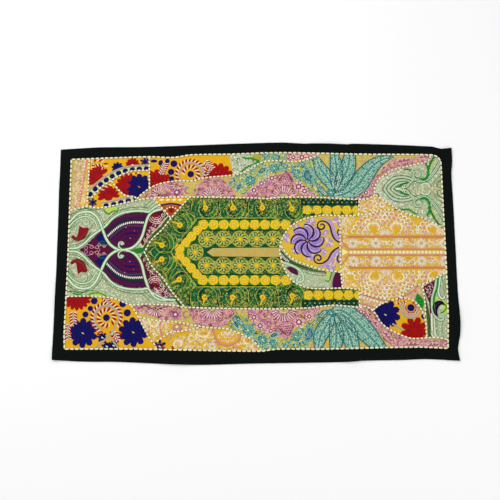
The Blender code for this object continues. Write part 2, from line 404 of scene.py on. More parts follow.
CLOTHS = {
    # kind: ground colour, fleck colour, fleck size in mm, share of flecks, record slot, nodes
    "black": ((0.0032, 0.0055, 0.0048), None, 0, 0, "black_cotton",
              ("border_top", "border_bottom", "border_left", "border_right")),
    "orange": ((0.80, 0.42, 0.012), None, 0, 0, "orange_embroidered",
               ("fan_outer", "fan_left", "fan_right", "scroll_band", "corner_flowers", "orange_corner",
                "orange_sliver", "orange_triangle")),
    "gold": ((0.76, 0.51, 0.035), None, 0, 0, "gold_brocade", ("gold_strip", "gold_lozenge")),
    "mustard": ((0.55, 0.44, 0.085), (0.63, 0.52, 0.15), 3.0, 0.5, "rose_brocade",
                ("rose_band_upper", "rose_band_lower")),
    "mint": ((0.46, 0.51, 0.32), (0.18, 0.25, 0.13), 3.0, 0.36, "mint_embroidered",
             ("mint_wedge", "mint_corner", "mint_crescent", "mint_stripe", "mint_left")),
    "green": ((0.016, 0.125, 0.035), (0.28, 0.32, 0.03), 3.4, 0.44, "green_brocade", ("green_panel",)),
    "cream": ((0.73, 0.46, 0.035), (0.76, 0.52, 0.12), 3.2, 0.2, "cream_brocade",
              ("cream_small", "cream_main", "paisley_upper", "paisley_lower")),
    "teal": ((0.16, 0.40, 0.36), (0.55, 0.42, 0.10), 3.4, 0.45, "teal_brocade", ("teal_sliver",)),
    "pale_rose": ((0.64, 0.45, 0.24), (0.60, 0.30, 0.26), 3.4, 0.45, "pale_rose_brocade",
                  ("cream_wedge", "pink_wedge")),
}
for kind, (*look, slot, nodes) in CLOTHS.items():
    finish = cloth_finish(f"{kind}_cloth", *look)
    for node in nodes:
        sheet_of(node, finish)

# %% [markdown]
# ## Soft lines
# A cord or a line of stitches bends gently through a few chosen places, as a thread does when it is
# laid by hand. Blender's Bezier interpolation gives the places between. `spaced` then walks along
# the line and gives a place and a direction for each stitch.

# %% Soft lines
def soft_line(run, step):
    """Places along a smooth line through the run's places, all in millimetres."""
    stops = [Vector((x, y, 0)) for x, y in run]
    line = [stops[0]]
    for i in range(len(stops) - 1):
        start, end = stops[i], stops[i + 1]
        span = (end - start).length
        if span == 0:
            continue
        before, after = stops[max(i - 1, 0)], stops[min(i + 2, len(stops) - 1)]
        leave = (end - before).normalized() if before != start else (end - start) / span
        arrive = (after - start).normalized() if after != end else (end - start) / span
        count = max(2, ceil(span / step) + 1)
        reach = span / 3
        line += interpolate_bezier(start, start + leave * reach, end - arrive * reach, end, count)[1:]
    return np.array([p[:2] for p in line])


def spaced(line, pitch):
    """Pairs of a place and a direction, at an even pitch along a finely drawn line."""
    line = np.asarray(line, float)
    reached = np.concatenate([[0], np.cumsum(np.hypot(*np.diff(line, axis=0).T))])
    count = max(1, round(reached[-1] / pitch))
    wanted = (np.arange(count) + 0.5) * reached[-1] / count

    def places_at(reach):
        return np.stack([np.interp(reach, reached, line[:, k]) for k in (0, 1)], axis=1)

    directions = np.arctan2(*(places_at(wanted + 0.5) - places_at(wanted - 0.5)).T[::-1])
    return list(zip(places_at(wanted), directions))


def turned(places, angle):
    """Places turned round the origin. What follows x and y in each stays."""
    c, s = cos(angle), sin(angle)
    out = places.copy()
    out[..., 0] = places[..., 0] * c - places[..., 1] * s
    out[..., 1] = places[..., 0] * s + places[..., 1] * c
    return out


print("places on a soft line:", len(soft_line([(0, 0), (20, 5), (40, 0)], 3)))

# %% [markdown]
# ## Making meshes
# The cords and the stitches hold thousands of small shapes each. It is quick to keep them as plain
# arrays in a `Pile`, and to make one mesh of them at the end. Long lines are left to Blender, which
# sweeps a profile along the splines of a curve.

# %% Making meshes
class Pile:
    """Copies of small shapes gathered for one mesh."""

    def __init__(self):
        self.places, self.faces, self.marks, self.count = [], [], [], 0

    def add(self, places, faces, mark):
        """Adds a shape. Its mark is the number of its finish, or a list with one for each face."""
        self.places.append(places)
        self.faces += [tuple(i + self.count for i in face) for face in faces]
        self.marks += [mark] * len(faces) if isinstance(mark, int) else mark
        self.count += len(places)


def arrays_of(shape):
    """(places, faces) of a bmesh, which is then freed."""
    shape.verts.index_update()
    places = np.array([v.co[:] for v in shape.verts])
    faces = [tuple(v.index for v in face.verts) for face in shape.faces]
    shape.free()
    return places, faces


def poly_spline(curve, places):
    """A spline of straight steps through places in space."""
    spline = curve.splines.new("POLY")
    spline.points.add(len(places) - 1)
    spline.points.foreach_set("co", np.column_stack([places, np.ones(len(places))]).ravel())
    return spline


def swept(curve, *helpers):
    """(places, faces, marks) of what a curve sweeps. The helper objects go with the curve's own."""
    holder = in_scene("lines", curve)
    graph = bpy.context.evaluated_depsgraph_get()
    mesh = bpy.data.meshes.new_from_object(holder.evaluated_get(graph))
    places = np.zeros(len(mesh.vertices) * 3)
    mesh.vertices.foreach_get("co", places)
    faces = [tuple(face.vertices) for face in mesh.polygons]
    marks = [face.material_index for face in mesh.polygons]
    for done in (holder, *helpers):
        bpy.data.objects.remove(done, do_unlink=True)
    return places.reshape(-1, 3), faces, marks


def mesh_of(name, places, faces, marks, finishes):
    """A smooth mesh with each face's finish."""
    mesh = bpy.data.meshes.new(name)
    mesh.from_pydata(places, [], faces)
    mesh.polygons.foreach_set("material_index", marks)
    for finish in finishes:
        mesh.materials.append(finish)
    mesh.shade_smooth()
    return mesh


print("mesh helpers ready")

# %% [markdown]
# ## Couched cord
# A thick cream cord lies over every main seam, and a sewing thread crosses it every centimetre,
# which pinches it into plump white grains. Each grain is a squashed sphere, and a thinner core
# runs beneath them, dark brown as painted shade in the gaps between the grains.

# %% Routes of the cord
ROUTES = {
    # places in millimetres; a place that is written twice is a corner
    "hem_top": [(-480, 240), (-278, 247), (-217, 245), (-169, 252), (-71, 254), (56, 258),
                (275, 254), (454, 252), (469, 247), (478, 236)],
    "hem_bottom": [(-479, -247), (-296, -247), (8, -252), (53, -247), (158, -247), (403, -242),
                   (477, -245)],
    "side_left": [(-480, 240), (-479, -56), (-481, -212), (-479, -247)],
    "side_right": [(478, 236), (481, -110), (477, -245)],
    "corner_right": [(452, 252), (446, 237), (400, 224), (350, 211), (330, 197), (315, 186),
                     (304, 156), (314, 141), (364, 108), (408, 90), (431, 84), (481, 56)],
    "upper_long": [(-480, 105), (-435, 115), (-408, 112), (-381, 115), (-266, 138), (-4, 138),
                   (27, 136), (56, 139), (135, 140), (282, 135), (307, 148)],
    "lower_long": [(-480, -116), (-421, -115), (-359, -121), (-316, -137), (-280, -135),
                   (-203, -139), (-181, -143), (9, -147), (124, -145), (195, -138), (258, -143),
                   (278, -142), (299, -160), (310, -179), (329, -196), (376, -218), (400, -221),
                   (450, -218), (477, -224)],
    "strip": [(-433, 242), (-435, 115)],
    "shoulder": [(-308, 134), (-292, 151), (-256, 173), (-205, 183), (-163, 183), (-138, 190),
                 (-38, 203), (7, 229), (23, 235), (47, 237), (108, 235), (152, 248), (163, 256)],
    "vertical": [(-278, 247), (-276, 162)],
    "arc": [(-436, 132), (-418, 145), (-396, 170), (-330, 207), (-278, 211)],
    "fan_split": [(-376, 184), (-342, 147), (-313, 140), (-308, 136)],
    "hex_left": [(-173, 139), (-219, 85), (-241, 56), (-270, 26), (-285, -3), (-285, -3),
                 (-265, -39), (-239, -67), (-214, -103), (-181, -142)],
    "triangle_left": [(-266, 138), (-219, 85)],
    "bell": [(364, 108), (319, 105), (291, 97), (227, 91), (164, 92), (102, 74), (68, 37),
             (60, -8), (86, -71), (132, -94), (217, -95), (259, -98), (259, -98), (259, -143)],
    "green_end": [(264, 133), (262, 92)],
    "gold_side": [(214, 92), (213, -38), (217, -95)],
    "gold_bottom": [(61, 13), (90, -19), (152, -44), (215, -55)],
    "yellow_bottom": [(259, -106), (336, -124), (358, -119), (396, -88), (419, -85), (480, -56)],
    "flower_left": [(291, -151), (311, -136), (339, -124)],
    "flower_right": [(350, -121), (369, -119), (400, -130), (421, -167), (425, -219)],
    "stripe_left": [(419, -85), (424, -137), (423, -174)],
    "orange_right": [(-316, -137), (-301, -160), (-267, -221), (-254, -237), (-249, -248)],
    "paisley_top": [(-296, -167), (-259, -175), (-208, -179), (-126, -193), (-72, -198),
                    (-23, -217), (-2, -233), (13, -252)],
    "paisley_split": [(-259, -235), (-215, -206), (-189, -203), (-134, -192)],
}
FIELD_ROUTES = ("hem_top", "hem_bottom", "side_left", "side_right")
print("cord runs:", len(ROUTES))

# %% [markdown]
# The grains could be an array along a curve. They are copied one by one instead, because then each
# can differ a little in size and turn, and none is laid where another cord already runs.

# %% Couched cord
FIELD_PITCH = 12.2 * MM
SEAM_PITCH = 10 * MM
GRAIN_GAP = 2.2 * MM
GRAIN_WIDTH = 4.2 * MM
GRAIN_HEIGHT = 2.6 * MM
GRAIN_REST = 0.3 * GRAIN_HEIGHT
CLEARANCE = 0.8 * GRAIN_WIDTH
BLUNT = 1.5
CORE_RISE = 0.5 * MM
CORE_STEP = 6
GRAIN_COLOUR = (0.98, 0.90, 0.56)
# Painted shade: the core's dark brown shows in the gaps between grains as their shade.
CORE_SHADE_COLOUR = (0.24, 0.12, 0.03)


def grain_of_cord():
    """(places, faces) of a grain 1 m long, blunter at its ends than a ball."""
    shape = bmesh.new()
    bmesh.ops.create_uvsphere(shape, u_segments=8, v_segments=6, radius=0.5)
    bmesh.ops.rotate(shape, verts=shape.verts, matrix=Matrix.Rotation(pi / 2, 3, "Y"))
    for vertex in shape.verts:
        vertex.co.x = 0.5 * BLUNT * vertex.co.x / (0.5 * (BLUNT - 1) + abs(vertex.co.x))
    bmesh.ops.scale(shape, verts=shape.verts, vec=(1, GRAIN_WIDTH, GRAIN_HEIGHT))
    return arrays_of(shape)


def cord_core(line):
    """The thin cord under the grains, as a mesh tube, whose dark colour is painted shade between them."""
    curve = bpy.data.curves.new("core", "CURVE")
    curve.dimensions = "3D"
    curve.bevel_depth = GRAIN_WIDTH / 4
    curve.bevel_resolution = 1
    curve.use_fill_caps = True
    picked = line[::CORE_STEP] * MM
    poly_spline(curve, np.column_stack([picked, lift(picked) + (BORDER_TOP + CORE_RISE)]))
    return swept(curve)[:2]


def couched_cord(name, routes, laid, pitch):
    """Grains and core along several routes, kept off the cords laid before."""
    random = Random(7)
    pile = Pile()
    grain, grain_faces = grain_of_cord()
    for route in routes:
        line = soft_line(ROUTES[route], 1)
        for (x, y), angle in spaced(line, pitch / MM):
            spot = np.array([[x * MM, y * MM]])
            if any(np.hypot(*(other * MM - spot[0]).T).min() < CLEARANCE for other in laid):
                continue
            size = np.array([(pitch - GRAIN_GAP) * random.uniform(0.94, 1.03), random.uniform(0.92, 1.08), 1])
            copy = turned(grain * size, angle + random.uniform(-0.08, 0.08))
            rest = lift(spot)[0] + BORDER_TOP + GRAIN_REST
            pile.add(copy + np.array([*spot[0], rest]), grain_faces, 0)
        pile.add(*cord_core(line), 1)
        laid.append(line)
    finishes = [
        thread_finish(f"{name}_{part}", colour, roughness)
        for part, colour, roughness in (("grain", GRAIN_COLOUR, 0.6), ("core", CORE_SHADE_COLOUR, 0.8))
    ]
    piece = in_scene(name, mesh_of(name, np.concatenate(pile.places), pile.faces, pile.marks, finishes))
    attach(piece, "root")
    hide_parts(*[f"cord_{route}" for route in routes])
    return piece


laid_cords = []
field_cord = couched_cord("field_cord", FIELD_ROUTES, laid_cords, FIELD_PITCH)
inner_routes = [route for route in ROUTES if route not in FIELD_ROUTES]
seam_cord = couched_cord("seam_cord", inner_routes, laid_cords, SEAM_PITCH)
print("cord faces:", len(field_cord.data.polygons) + len(seam_cord.data.polygons))

# %% [markdown]
# ## Thread colours
# The embroidery and the brocades need a few dozen thread colours. They are easier to choose and
# compare as red, green and blue from 0 to 255, so `dye` turns such a colour into what a material
# wants, and `floss` makes each thread's finish once, when a cloth first asks for it.

# %% Thread colours
THREADS = {
    "white": (248, 242, 226), "pearl": (232, 214, 202), "cream": (244, 226, 176), "blush": (238, 190, 176),
    "butter": (250, 224, 104), "straw": (206, 198, 92), "sand": (192, 168, 88), "lemon": (232, 194, 28),
    "gold": (216, 170, 34), "amber": (214, 130, 34), "terra": (212, 134, 112), "rust": (170, 76, 26),
    "scarlet": (158, 8, 0), "crimson": (130, 8, 30), "wine": (90, 8, 42), "pink": (230, 168, 186),
    "rose": (206, 122, 142), "mauve": (188, 124, 142), "orchid": (184, 112, 152), "dusk": (136, 66, 98),
    "lilac": (180, 152, 204), "violet": (108, 70, 156), "purple": (40, 10, 84), "ink": (4, 2, 40),
    "navy": (14, 8, 88), "plum": (78, 12, 62), "slate": (110, 144, 150), "teal": (14, 84, 88),
    "lagoon": (46, 132, 132), "sea": (110, 166, 146), "pine": (6, 50, 26), "fir": (10, 88, 50),
    "leaf": (34, 118, 42), "jade": (24, 138, 44), "sage": (98, 150, 100), "lime": (188, 204, 82),
    "olive": (172, 168, 62), "celery": (206, 212, 140), "moss": (60, 84, 30), "mint": (190, 214, 176),
    "frost": (222, 238, 206), "grey": (176, 166, 140),
}
flosses = {}


def dye(screen):
    """A material's colour from one as a screen shows it."""
    return tuple(((level / 255 + 0.055) / 1.055) ** 2.4 for level in screen)


def floss(thread):
    if thread not in flosses:
        flosses[thread] = thread_finish(f"{thread}_thread", dye(THREADS[thread]))
    return flosses[thread]


print("thread colours:", len(THREADS))

# %% [markdown]
# ## Stitched shapes
# Small solid shapes are stamped: a round dot, a leaf with two points, a petal with a broad tip and
# a drop with a broad foot. Each is a circle with its middle raised, so that satin stitch catches
# the light, and its rim sits a little below the cloth so that no gap shows.

# %% Stitched shapes
BULGE = 0.35
SUNK = 0.15


def stamp_shape(segments, outline):
    """(places, faces) of a raised disc from 0 to 1 along x, as broad as an outline function says."""
    shape = bmesh.new()
    bmesh.ops.create_circle(shape, cap_ends=True, cap_tris=True, segments=segments, radius=0.5)
    for vertex in shape.verts:
        height = BULGE if vertex.co.length < 0.1 else -SUNK
        x, y = vertex.co.x + 0.5, vertex.co.y
        vertex.co = (x, outline(x) * y, height)
    return arrays_of(shape)


disc, disc_faces = stamp_shape(8, lambda x: 1)
STAMPS = {
    # a dot lies round the origin and has a radius of 1, the others start there and are 1 long
    "dot": ((disc - (0.5, 0, 0)) * (2, 2, 1), disc_faces),
    "leaf": stamp_shape(8, lambda x: 1.7 * (x * (1 - x)) ** 0.4),
    "petal": stamp_shape(9, lambda x: 0.45 + 0.62 * x),
    "drop": stamp_shape(9, lambda x: 1.25 - 0.95 * x),
}
print("stamps:", {name: len(shape[1]) for name, shape in STAMPS.items()})

# %% [markdown]
# ## Embroidery on one cloth
# A cloth's stitches become one mesh. Lines are splines of a curve, one curve for the arched lines
# and one for the flat ones, which Blender sweeps with a profile. Stamps are copied in, and broad
# areas are flat faces cut by a grid. At the end every place is put on the face of the cloth, and
# what crosses its edge is drawn in.

# %% Embroidery on one cloth
LEVEL = 0.12
FILL_GRID = 5
BROAD_DOT = 5
STITCH_CREASE = radians(60)
PROFILES = {
    # style: across and up, for a stitch 1 mm wide
    "raised": [(-0.5, -0.06), (0, 0.26), (0.5, -0.06)],
    "flat": [(-0.5, -0.02), (-0.25, 0.015), (0, 0.02), (0.25, 0.015), (0.5, -0.02)],
}


def off(x, y, reach, angle):
    """The place at a distance from another, in a direction in radians."""
    return x + reach * cos(angle), y + reach * sin(angle)


class Embroidery:
    """Stitches on one cloth, drawn in millimetres over its plane."""

    def __init__(self, node):
        self.node = node
        self.rim = RIMS[node] / MM
        self.pile = Pile()
        self.threads = []
        self.runs = {style: [] for style in PROFILES}
        self.covers = []
        self.flecks = []

    def mark(self, thread):
        if thread not in self.threads:
            self.threads.append(thread)
        return self.threads.index(thread)

    def stamp(self, shape, x, y, thread, length, width=None, turn=0.0, level=4):
        """A copy of a small shape. A dot's length is its radius, any other's its whole length."""
        places, faces = STAMPS[shape]
        if shape == "dot" and length > BROAD_DOT:
            self.covers.append(np.array([off(x, y, length, angle) for angle in range(6)]))
        copy = turned(places * np.array([length, width or length, 1]), turn)
        self.pile.add(copy + np.array([x, y, level * LEVEL]), faces, self.mark(thread))

    def dot(self, x, y, thread, radius, level):
        self.stamp("dot", x, y, thread, radius, level=level)

    def line(self, points, thread, width, level, taper=1.0, closed=False, style="raised"):
        """A stitched line whose width narrows to a share of it at both ends."""
        points = np.asarray(points, float)
        if closed:
            taper = 1
        widths = width * (taper + (1 - taper) * np.sin(np.linspace(0, pi, len(points))))
        self.runs[style].append((points, widths, self.mark(thread), level * LEVEL, closed))

    def band(self, points, thread, width, level, taper=1.0):
        """A broad line that lies flat, as a woven ribbon does."""
        self.line(points, thread, width, level, taper, style="flat")

    def fill(self, points, thread, level=0):
        """A flat area, from its outline, with a skirt that reaches down to the cloth."""
        self.covers.append(np.asarray(points, float))
        shape = bmesh.new()
        shape.faces.new([shape.verts.new((x, y, 0)) for x, y in points])
        shape.normal_update()
        if next(iter(shape.faces)).normal.z < 0:
            bmesh.ops.reverse_faces(shape, faces=shape.faces[:])
        cut_grid(shape, FILL_GRID)
        edge = [e for e in shape.edges if e.is_boundary]
        skirt = bmesh.ops.extrude_edge_only(shape, edges=edge)["geom"]
        sunk = [v for v in skirt if isinstance(v, bmesh.types.BMVert)]
        bmesh.ops.translate(shape, verts=sunk, vec=(0, 0, -SUNK - LEVEL))
        places, faces = arrays_of(shape)
        self.pile.add(places + np.array([0, 0, (level + 1) * LEVEL]), faces, self.mark(thread))

    def draw(self, figure, *copies):
        """Copies of a figure. Each is the values that its function takes after the cloth."""
        for values in copies:
            figure(self, *values)

    def sew_flecks(self):
        """Draws the flecks that lie between the figures."""
        spots = np.array([spot for spot, *_ in self.flecks])
        hidden = np.zeros(len(spots), bool)
        for cover in self.covers:
            hidden |= within(spots, cover)
        for (_, sew, values), covered in zip(self.flecks, hidden):
            if not covered:
                sew(*values)

    def sew_lines(self, style):
        """Sweeps the lines of one style with its profile."""
        profile = bpy.data.curves.new(f"{style}_profile", "CURVE")
        poly_spline(profile, [(across, up, 0) for across, up in PROFILES[style]])
        curve = bpy.data.curves.new("lines", "CURVE")
        curve.dimensions = "3D"
        curve.twist_mode = "Z_UP"
        curve.bevel_mode = "OBJECT"
        curve.bevel_object = in_scene(profile.name, profile)
        for thread in self.threads:
            curve.materials.append(floss(thread))
        for points, widths, mark, height, closed in self.runs[style]:
            spline = poly_spline(curve, np.column_stack([points, np.full(len(points), height)]))
            spline.use_cyclic_u = closed
            spline.material_index = mark
            spline.points.foreach_set("radius", widths)
        self.pile.add(*swept(curve, curve.bevel_object))

    def finish(self):
        """Lays the stitches on the cloth as one piece."""
        if self.flecks:
            self.sew_flecks()
        for style, runs in self.runs.items():
            if runs:
                self.sew_lines(style)
        places = np.concatenate(self.pile.places)
        flat = places[:, :2]
        inside = within(flat, self.rim)
        gap, spot = rim_distance(flat, self.rim)
        flat = np.where(inside[:, None], flat, spot)
        height = surface(flat * MM, np.where(inside, gap, 0) * MM, PATCH_TOP) + places[:, 2] * MM
        laid = np.column_stack([flat * MM, height])
        kept = [i for i, face in enumerate(self.pile.faces) if any(inside[v] for v in face)]
        used = np.unique([v for i in kept for v in self.pile.faces[i]])
        order = np.zeros(len(laid), int)
        order[used] = np.arange(len(used))
        faces = [tuple(order[list(self.pile.faces[i])]) for i in kept]
        marks = [self.pile.marks[i] for i in kept]
        name = f"{self.node}_stitches"
        piece = in_scene(name, mesh_of(name, laid[used], faces, marks, map(floss, self.threads)))
        piece.data.set_sharp_from_angle(angle=STITCH_CREASE)
        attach(piece, "root")
        print(self.node, "stitch faces:", len(kept), "threads:", len(self.threads))


print("line profiles:", *PROFILES)

# %% [markdown]
# ## Motifs
# The same few figures come back on most of the cloths: round flowers, roses wound from a spiral,
# scrolls, rings and arcs. Each is worked out by arithmetic from a centre, a size and a turn.

# %% Arcs, coils and leaves
ARC_STEP = 2.5


def coil(x, y, inner, outer, start, end, fewest=6):
    """Places along a spiral whose radius grows from inner to outer between two angles."""
    count = max(fewest, ceil(abs(radians(end - start)) * (inner + outer) / 2 / ARC_STEP) + 1)
    angles = np.radians(np.linspace(start, end, count))
    radii = np.linspace(inner, outer, count)
    return np.column_stack([x + radii * np.cos(angles), y + radii * np.sin(angles)])


def arc(x, y, radius, start, end):
    """Places along an arc, from one angle to another in degrees."""
    return coil(x, y, radius, radius, start, end, 4)


def circle(x, y, radius):
    return arc(x, y, radius, 0, 360)[:-1]


def placed(points, x, y, turn=0.0, size=1.0, flip=1):
    """Places drawn round the origin, sized, flipped across x where flip is -1, turned and moved."""
    return turned(np.asarray(points, float) * size * np.array([flip, 1]), radians(turn)) + (x, y)


def beside(midline, side):
    """A function that puts places on one side of a midline, from their distance to it."""
    return lambda points: np.asarray(points, float) * (1, side) + (0, midline)


def sideways(points):
    """Unit steps to the left of a line, one for each of its places."""
    ahead = np.gradient(np.asarray(points, float), axis=0)
    return np.column_stack([-ahead[:, 1], ahead[:, 0]]) / np.hypot(*ahead.T)[:, None]


def vane(places, width, fullness=1.0, step=3):
    """Outline, middle line and half widths of a leaf that follows a soft line of places."""
    spine = soft_line(places, step)
    share = np.linspace(0, 1, len(spine)) ** fullness
    half = sideways(spine) * (width / 2 * np.sin(pi * share).clip(0, 1) ** 0.8)[:, None]
    return np.concatenate([spine + half, (spine - half)[-2:0:-1]]), spine, half


print("a leaf's outline has", len(vane([(0, 0), (20, 0)], 8)[0]), "places")

# %% Flowers and roses
PETAL_SHARE = 0.72


def bow(cloth, x, y, radius, start, end, thread, width, level, taper=1.0):
    """A line along an arc."""
    cloth.line(arc(x, y, radius, start, end), thread, width, level, taper)


def ring(cloth, x, y, radius, thread, width, level):
    cloth.line(circle(x, y, radius), thread, width, level, closed=True)


def flower(cloth, x, y, radius, petals, thread, centre, start=0, sweep=360, inner=0.25,
           fullness=1.0, middle=0.3, level=2):
    """Petals round a dot, over a whole turn or part of one."""
    width = fullness * 2 * pi * radius * PETAL_SHARE * (sweep / 360) / petals
    reach = inner * radius
    for k in range(petals):
        angle = radians(start + sweep * (k + 0.5) / petals)
        cloth.stamp("petal", *off(x, y, reach, angle), thread, radius - reach, width, angle, level)
    if centre:
        cloth.dot(x, y, centre, middle * radius, level + 1)


def rose(cloth, x, y, radius, turn, level):
    """A golden rose from above: a disc with its petals wound in a spiral of darker gold thread that is also
    painted shade, and a paler spiral that is a painted highlight.
    """
    cloth.dot(x, y, "lemon", radius, level)
    for k in range(5):
        spot = off(x, y, 0.62 * radius, radians(turn + 72 * k))
        cloth.dot(*spot, "lemon", 0.44 * radius, level + 1)
    # The gold spiral is the rose's darker swirl and painted shade; the butter spiral is a painted highlight.
    for inner, outer, start, thread, width in (
        (0.12, 0.78, 0, "gold", 0.13), (0.1, 0.6, 170, "butter", 0.12),
    ):
        spiral = coil(x, y, inner * radius, outer * radius, turn + start, turn + 560)
        cloth.line(spiral, thread, width * radius, level + 4)


print("flowers and roses ready")

# %% [markdown]
# Such cloth is seldom empty between its motifs. Small stamps and curls fill it, one near each place
# of a grid and turned at random. The generator has a seed, so every run gives the same cloth.

# %% Flecks over a cloth
def over_grid(cloth, spacing, region, random, fleck):
    """Draws a fleck near each place of a grid. Its function gives how it is drawn, and with what values.

    With no region the flecks fill the whole cloth, apart from what is laid over it.
    """
    rim = cloth.rim if region is None else np.asarray(region, float)
    low, high = rim.min(axis=0), rim.max(axis=0)
    upward = np.arange(low[1], high[1], spacing)
    spots = np.array([(x, y) for x in np.arange(low[0], high[0], spacing) for y in upward])
    spots += np.array([random.uniform(-0.45, 0.45) * spacing for _ in range(spots.size)]).reshape(-1, 2)
    for spot in spots[within(spots, rim)]:
        sew, values = fleck(*spot)
        if region is None:
            cloth.flecks.append((spot, sew, values))
        else:
            sew(*values)


def scatter(cloth, spacing, choices, seed, region=None, level=1):
    """Small stamps turned at random. Each choice is (shape, thread, length, width)."""
    random = Random(seed)

    def fleck(x, y):
        shape, thread, length, width = random.choice(choices)
        size = random.uniform(0.75, 1.25)
        return cloth.stamp, (shape, x, y, thread, length * size, width * size, random.uniform(0, tau), level)

    over_grid(cloth, spacing, region, random, fleck)


def squiggles(cloth, spacing, radius, threads, width, seed, region=None, level=2):
    """Small curls of thread, each a part of a circle turned at random."""
    random = Random(seed)

    def fleck(x, y):
        start = random.uniform(0, 360)
        reach = radius * random.uniform(0.6, 1.4)
        bend = arc(x, y, reach, start, start + random.uniform(140, 280))
        return cloth.line, (bend, random.choice(threads), width * random.uniform(0.8, 1.2), level, 0.5)

    over_grid(cloth, spacing, region, random, fleck)


print("scattered flecks ready")

# %% [markdown]
# The mint silk has ribbons and bristly green lines, and the lace is made of hoops. Several cloths
# need each of them, so they are functions too.

# %% Ribbons, hoops and strokes
def ribbon(cloth, points, width, edge, edge_width, middle=False):
    """A woven mint band with a thin line along both sides, partly its own edge line and partly painted shade,
    and one along its middle if wanted.
    """
    cloth.band(points, "mint", width, 3, 0.8)
    # The side lines are partly the band's own green edge lines and partly painted shade beside it.
    for way in (1, -1, 0)[:3 if middle else 2]:
        cloth.line(points + sideways(points) * way * width / 2, edge, edge_width, 4)


def hoop(cloth, x, y, size, turn, thread):
    """A small open ring, broad in its middle, with a thin rose line inside it."""
    cloth.draw(
        bow, (x, y, size * 0.38, turn - 125, turn + 125, thread, size * 0.26, 5, 0.4),
        (x, y, size * 0.16, turn - 90, turn + 90, "rose", size * 0.1, 5),
    )


def hoop_rows(cloth, x, y, radii, turn, sweep, size=12.5, threads=("cream", "white", "cream", "blush")):
    """Rows of hoops round a centre, set between those of the row before."""
    for row, radius in enumerate(radii):
        count = max(1, round(radians(sweep) * radius / (size * 1.08)))
        for k in range(count):
            angle = turn - sweep / 2 + sweep * (k + 0.5 * (1 + row % 2)) / count
            if angle <= turn + sweep / 2:
                spot = off(x, y, radius, radians(angle))
                hoop(cloth, *spot, size, angle, threads[(k + row) % len(threads)])


def jagged(cloth, points, thread, size, level=4):
    """A line whose edges bristle with short leaves."""
    cloth.line(points, thread, size * 0.55, level)
    for k, (spot, angle) in enumerate(spaced(points, size * 0.6)):
        lean = (0.7, -0.7, 1.1, -1.2)[k % 4]
        cloth.stamp("leaf", *spot, thread, size * (1, 0.8, 0.7)[k % 3], size * 0.4, angle + lean, level)


def strokes(cloth, table, at=np.array):
    """Soft lines from a table: thread, width, places."""
    for thread, width, places in table:
        cloth.line(at(soft_line(places, 3)), thread, width, 4)


print("ribbons, hoops and strokes ready")

# %% [markdown]
# ## Green brocade
# The largest patch is one end of a green silk panel. A dark line follows its point and its sides,
# with a row of yellow roses beside it, then round rosettes along both sides of a plain gold bar.
# Outside the roses, yellow buds hang in thick sprays of leaves. The two halves mirror each other,
# so each figure is drawn once and placed on both sides of the midline.

# %% Figures of the green brocade
GREEN_MIDLINE = -3
GREEN_EDGE = [(-213, 0), (-148, 85), (46, 85)]
GREEN_INNER = [(-180, 0), (-137, 57), (60, 57)]
GREEN_BUDS = [
    # x, distance from the midline, direction outwards in degrees
    (-131, 115, 90), (-60, 115, 90), (15, 115, 90), (90, 112, 90), (-196, 70, 142), (-241, 18, 142),
]
BUD_LEAVES = [
    # places, width, thread, edge
    ([(-16, 22), (-30, 4), (-28, -16), (-8, -30)], 7.5, "fir", "leaf"),
    ([(-8, 20), (-20, 3), (-17, -16), (-2, -28)], 7, "fir", "lime"),
    ([(-6, 8), (-11, -8), (-2, -20), (12, -27)], 8, "pine", "leaf"),
    ([(16, 22), (19, 2), (10, -14), (-3, -21)], 7, "fir", "olive"),
    ([(30, 10), (27, -8), (16, -22), (2, -28)], 6.5, "leaf", "lime"),
    ([(38, 2), (36, -14), (26, -27)], 5, "fir", "straw"),
    ([(-34, 22), (-38, 6), (-36, -8)], 5, "pine", "straw"),
]


def bud_spray(cloth, x, y, turn, flip):
    """A hanging bud between crescents of leaves. It is drawn pointing up."""

    def at(points):
        return placed(points, x, y, turn - 90, flip=flip)

    for places, width, thread, edge in BUD_LEAVES:
        outline, spine, _ = vane(places, width)
        cloth.fill(at(outline), thread, 1)
        cloth.line(at(outline[:len(spine)]), edge, 1.3, 4, 0.4)
    cloth.line(at([(0, 4), (-1, 10), (-5, 20)]), "lemon", 4.4, 5, 0.7)
    cloth.dot(*at((-2, 13)), "amber", 1.8, 8)
    flower(cloth, x, y, 7.6, 8, "lemon", "lemon", inner=0.2, fullness=1.3, middle=0.6, level=6)
    cloth.dot(x, y, "amber", 3, 10)


def rosette(cloth, x, y, radius):
    """A ring of dark leaves between a broad olive rim and a gold eye."""
    cloth.dot(x, y, "olive", radius * 0.93, 3)
    ring(cloth, x, y, radius * 0.9, "olive", radius * 0.14, 5)
    for k in range(10):
        for shape, thread, reach, length, width, turn, level in (
            ("leaf", ("pine", "leaf", "fir")[k % 3], 0.34, 0.34, 0.17, 8, 6),
            ("dot", ("pine", "leaf")[k % 2], 0.71, 0.12, 0.12, -8, 6),
            ("leaf", "celery", 0.4, 0.42, 0.1, 26, 7), ("dot", "celery", 0.84, 0.05, 0.05, 18, 7),
        ):
            angle = radians(36 * k + turn)
            cloth.stamp(shape, *off(x, y, reach * radius, angle), thread, length * radius, width * radius,
                        angle + (k % 3 - 1) * 0.12, level)
    cloth.dot(x, y, "gold", 0.26 * radius, 7)
    cloth.dot(x, y, "lemon", 0.16 * radius, 9)


print("leaves of a bud:", len(BUD_LEAVES), "buds on each side:", len(GREEN_BUDS))

